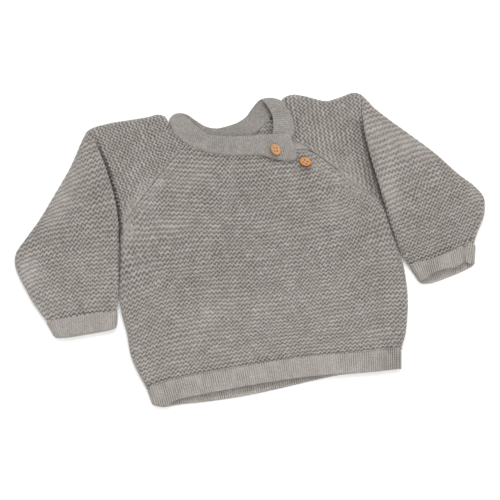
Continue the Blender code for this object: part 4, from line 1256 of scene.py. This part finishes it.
def drill(made, right, high):
    """Cuts a round hole through a button."""
    bpy.ops.mesh.primitive_cylinder_add(
        vertices=HOLE_SIDES, radius=HOLE_RADIUS * MM, depth=4 * BUTTON_THICK * MM,
        location=(right * HOLE_SPREAD * MM, high * HOLE_SPREAD * MM, 0),
    )
    cutter = bpy.context.object
    cut = made.modifiers.new("hole", "BOOLEAN")
    cut.object, cut.solver = cutter, "EXACT"
    bpy.context.view_layer.objects.active = made
    bpy.ops.object.modifier_apply(modifier="hole")
    bpy.data.objects.remove(cutter, do_unlink=True)


def button(count, where, finish, thread):
    """A turned wooden button with four holes, and the thread that holds it on."""
    made = turned_wood(f"button_{count}_wood", finish)
    for right in (-1, 1):
        for high in (-1, 1):
            drill(made, right, high)
    placed = turning(*where)
    made.data.transform(placed)
    made.data.shade_smooth()
    made.data.set_sharp_from_angle(angle=math.radians(SHARP_ANGLE))
    stitches = thread_cross(f"button_{count}_thread", thread)
    stitches.data.transform(placed)
    return made, stitches


def tube(line, radius, facing):
    """The places of a thread along a line."""
    ring = np.linspace(0, 2 * math.pi, THREAD_SIDES, endpoint=False)
    along = unit(np.gradient(line, axis=0))
    side = unit(np.cross(along, facing))
    up = np.cross(side, along)
    round_it = side[:, None] * np.cos(ring)[None, :, None] + up[:, None] * np.sin(ring)[None, :, None]
    return (line[:, None] + radius * round_it).reshape(-1, 3)


def thread_cross(name, finish):
    """Two pairs of threads that cross over the button, from hole to hole, and the wound stem of
    thread under it."""
    tubes = []
    share = np.linspace(0, 1, 17)
    for tilt, lift in ((1, 0.12), (-1, 0.44)):
        for aside in (-THREAD_ASIDE, THREAD_ASIDE):
            start = np.array([-1, -tilt]) * THREAD_SPREAD
            end = -start
            run = unit(end - start)
            line = start + (end - start) * share[:, None] + np.array([-run[1], run[0]]) * aside
            z = 1 + (1.12 + lift) * np.sin(np.pi * share) ** 0.45
            tubes.append(tube(np.column_stack([line, z]), THREAD_RADIUS, (0, 0, 1)))
    tubes.append(tube(np.outer((0.6, -1, -2.6), (0, 0, 1)), STEM_RADIUS, (1, 0, 0)))
    starts = np.append(0, np.cumsum([len(part) for part in tubes]))
    faces = [
        quads(numbered(len(part) // THREAD_SIDES, THREAD_SIDES, start), around=True)
        for part, start in zip(tubes, starts)
    ]
    return mesh_object(name, np.concatenate(tubes) * MM, np.concatenate(faces), finish)


# ---------------------------------------------------------------- materials

# painted shade: the near-black that the deepest places, in creases and gaps, are darkened towards
PAINTED_CREASE_SHADE = (0.035, 0.03, 0.027)
# each yarn's colour on top and in the pits, where the darker colour is painted shade; how bright its
# inner side is, with painted shade inside the neck and painted light inside the cuffs and the hems; how
# mottled it is
YARNS = (
    ("garter_yarn", (0.335, 0.314, 0.292), (0.102, 0.089, 0.079), 0.92, 0.05),
    ("neck_yarn", (0.276, 0.259, 0.24), (0.145, 0.133, 0.121), 0.92, 0.13),
    ("rib_yarn", (0.33, 0.309, 0.287), (0.166, 0.15, 0.135), 1.2, 0.07),
)
# each wood's colour in and between the lines of its grain, and round its side, partly end grain and
# partly painted shade
WOODS = (
    ("light_wood", (0.42, 0.205, 0.077), (0.58, 0.345, 0.145), (0.28, 0.13, 0.05)),
    ("redder_wood", (0.40, 0.16, 0.043), (0.56, 0.29, 0.1), (0.17, 0.045, 0.015)),
)


class Shading:
    """A new material, and the nodes that lead to its shader."""

    def __init__(self, name, roughness, **sizes):
        self.material = bpy.data.materials.new(name)
        self.material.use_nodes = True
        self.tree = self.material.node_tree
        self.shader = self.tree.nodes["Principled BSDF"]
        self.fill(self.shader, Roughness=roughness, **sizes)

    def fill(self, made, **sizes):
        for name, value in sizes.items():
            made.inputs[name.replace("_", " ")].default_value = value
        return made

    def node(self, kind, **sizes):
        return self.fill(self.tree.nodes.new("ShaderNode" + kind), **sizes)

    def link(self, value, made, name):
        self.tree.links.new(value, made.inputs[name])

    def attribute(self, name):
        made = self.node("Attribute")
        made.attribute_name = name
        return made.outputs["Fac"]

    def noise(self, place, scale, detail, roughness=0.5):
        made = self.node("TexNoise", Scale=scale, Detail=detail, Roughness=roughness)
        self.link(place, made, "Vector")
        return made.outputs["Fac"]

    def ranged(self, value, low, high):
        """How far a value is from low to high, 0 to 1."""
        made = self.node("MapRange", From_Min=low, From_Max=high, To_Min=0, To_Max=1)
        self.link(value, made, "Value")
        return made.outputs["Result"]

    def mixed(self, first, second, factor=1.0, kind="MIX"):
        """Two colours, mixed. The colours and the factor may come from other nodes."""
        made = self.node("Mix")
        made.data_type, made.blend_type = "RGBA", kind
        for socket, value in zip([made.inputs[k] for k in (0, 6, 7)], (factor, first, second)):
            if isinstance(value, float):
                socket.default_value = value
            elif isinstance(value, tuple):
                socket.default_value = (*value, 1)
            else:
                self.tree.links.new(value, socket)
        return made.outputs[2]

    def finished(self, colour):
        self.link(colour, self.shader, "Base Color")
        return self.material


def cloth_material(name, light, dark, inside, mottle):
    """Melange cotton yarn: lighter on top of the stitches, and darker and warmer in the pits, which is
    painted shade.
    """
    made = Shading(name, 0.92, Specular_IOR_Level=0.18, Sheen_Weight=0.12, Sheen_Roughness=0.6)
    place = made.node("TexCoord").outputs["Object"]
    pit = made.attribute("pit")
    # painted shade: the deeper a place lies, and the more shade is painted on it, the darker it is
    colour = made.mixed(light, dark, made.ranged(pit, 0.05, 1))
    # painted shade: creases and gaps darken towards near-black
    colour = made.mixed(colour, PAINTED_CREASE_SHADE, made.ranged(pit, 1.3, 2.5))
    for scale, detail, roughness, reach, low, high in (
        (900, 3, 0.6, 0.2, (0.79, 0.785, 0.78), (1.2, 1.2, 1.205)),  # its fibres
        (45, 3, 0.5, 0.15, (0.95, 0.945, 0.94), (1.04, 1.04, 1.045)),  # patches of the cloth
        (430, 1, 0.5, 0.2, (1 - mottle,) * 3, (1 + mottle,) * 3),  # its strands
        (190, 2, 0.7, 0.15, (1.022, 0.992, 1.012), (0.978, 1.008, 0.988)),  # their two hues
    ):
        spread = made.noise(place, scale, detail, roughness)
        tint = made.mixed(low, high, made.ranged(spread, 0.5 - reach, 0.5 + reach))
        colour = made.mixed(colour, tint, kind="MULTIPLY")
    # painted light and shade on inner sides: darker inside the neck, lighter inside the cuffs and the
    # hems
    shaded = made.mixed((1.0, 1.0, 1.0), (inside,) * 3, made.attribute("inside"))
    colour = made.mixed(colour, shaded, kind="MULTIPLY")
    bump = made.node("Bump", Strength=0.45, Distance=0.00025)
    made.link(made.noise(place, 2600, 2, 0.6), bump, "Height")
    made.link(bump.outputs["Normal"], made.shader, "Normal")
    return made.finished(colour)


def wood_material(name, dark, light, side):
    """Light turned wood with a fine straight grain, darker round its side, partly for its end grain and
    partly as painted shade.
    """
    made = Shading(name, 0.48, Specular_IOR_Level=0.35)
    stretch = made.node("Mapping", Scale=(260, 1700, 700), Rotation=(0.1, 0.2, 0.5))
    made.link(made.node("TexCoord").outputs["Object"], stretch, "Vector")
    grain = made.ranged(made.noise(stretch.outputs["Vector"], 1, 4, 0.55), 0.3, 0.7)
    return made.finished(made.mixed(made.mixed(dark, light, grain), side, made.attribute("pit")))


def plain_material(name, colour, roughness):
    return Shading(name, roughness, Base_Color=(*colour, 1)).material


# ---------------------------------------------------------------- the picture

WHITE = (0.95, 0.95, 0.95)
DAYLIGHT = 0.85  # strength of the white surroundings
# each lamp's name, place, size and power
LAMPS = (("key", (0.15, 1.4, 1.8), 1.6, 22), ("fill", (0.3, -1.2, 1.9), 1.8, 21))
CAMERA, CAMERA_TARGET = (-0.09064, -0.63556, 1.36446), (-0.0057, -0.00735, 0.005)
LENS, SENSOR = 117.775, 36.0
FLOOR = ((-4, -4, 0), (4, -4, 0), (4, 4, 0), (-4, 4, 0))


def area_light(name, place, size, power):
    """A round lamp that faces the garment."""
    light = bpy.data.lights.new(name, "AREA")
    light.shape, light.size, light.energy = "DISK", size, power
    made = bpy.data.objects.new(name, light)
    made.location = place
    made.rotation_euler = (-Vector(place)).to_track_quat("-Z", "Y").to_euler()
    bpy.context.collection.objects.link(made)


def picture():
    """The floor, the lights and the camera."""
    scene = bpy.context.scene
    white = plain_material("floor_white", WHITE, 0.9)
    floor = mesh_object("floor", np.array(FLOOR), np.array([(0, 1, 2, 3)]), white)
    world = bpy.data.worlds.new("studio")
    scene.world = world
    world.use_nodes = True
    background = world.node_tree.nodes["Background"]
    background.inputs["Color"].default_value = (1, 1, 1, 1)
    background.inputs["Strength"].default_value = DAYLIGHT
    for lamp in LAMPS:
        area_light(*lamp)
    lens = bpy.data.cameras.new("camera")
    lens.lens, lens.sensor_width = LENS, SENSOR
    camera = bpy.data.objects.new("camera", lens)
    camera.location = CAMERA
    camera.rotation_euler = (Vector(CAMERA_TARGET) - camera.location).to_track_quat("-Z", "Y").to_euler()
    bpy.context.collection.objects.link(camera)
    scene.camera = camera
    scene.view_settings.view_transform = "Standard"


def show(made, nodes):
    """Hides the parts that a cloth piece replaces, and attaches it to the root that it rides on."""
    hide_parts(*nodes)
    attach(made, "root")


def main():
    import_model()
    garter_yarn, neck_yarn, rib_yarn = (cloth_material(*sizes) for sizes in YARNS)
    show(front_panel(garter_yarn), ["front_panel"])
    show(back_panel(garter_yarn), ["back_panel"])
    show(LEFT_SLEEVE.make(garter_yarn), ["left_sleeve"])
    show(RIGHT_SLEEVE.make(garter_yarn), ["right_sleeve"])
    show(neckband(neck_yarn), ["neckband"])
    front_hem = hem("front_hem_rib", "front_up", rib_yarn, False, 91, FRONT_HEM_BOLD)
    back_hem = hem("back_hem_rib", "back_up", rib_yarn, True, 93, BACK_HEM_BOLD)
    show(front_hem, ["front_hem"])
    show(back_hem, ["back_hem"])
    for side, band, seed, bold in (
        ("left", LEFT_CUFF, 95, LEFT_CUFF_BOLD), ("right", RIGHT_CUFF, 97, RIGHT_CUFF_BOLD)
    ):
        made = cuff(f"{side}_cuff_rib", band, rib_yarn, seed, bold)
        show(made, [f"{side}_cuff"])
    show(placket(rib_yarn), ["placket"])
    woods = [wood_material(*sizes) for sizes in WOODS]
    thread = plain_material("button_thread", (0.5, 0.38, 0.36), 0.8)
    for count, (where, wood) in enumerate(zip(BUTTONS, woods), 1):
        made, stitches = button(count, where, wood, thread)
        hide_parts(f"button_{count}")
        for piece in (made, stitches):
            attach(piece, "root")
    picture()


main()
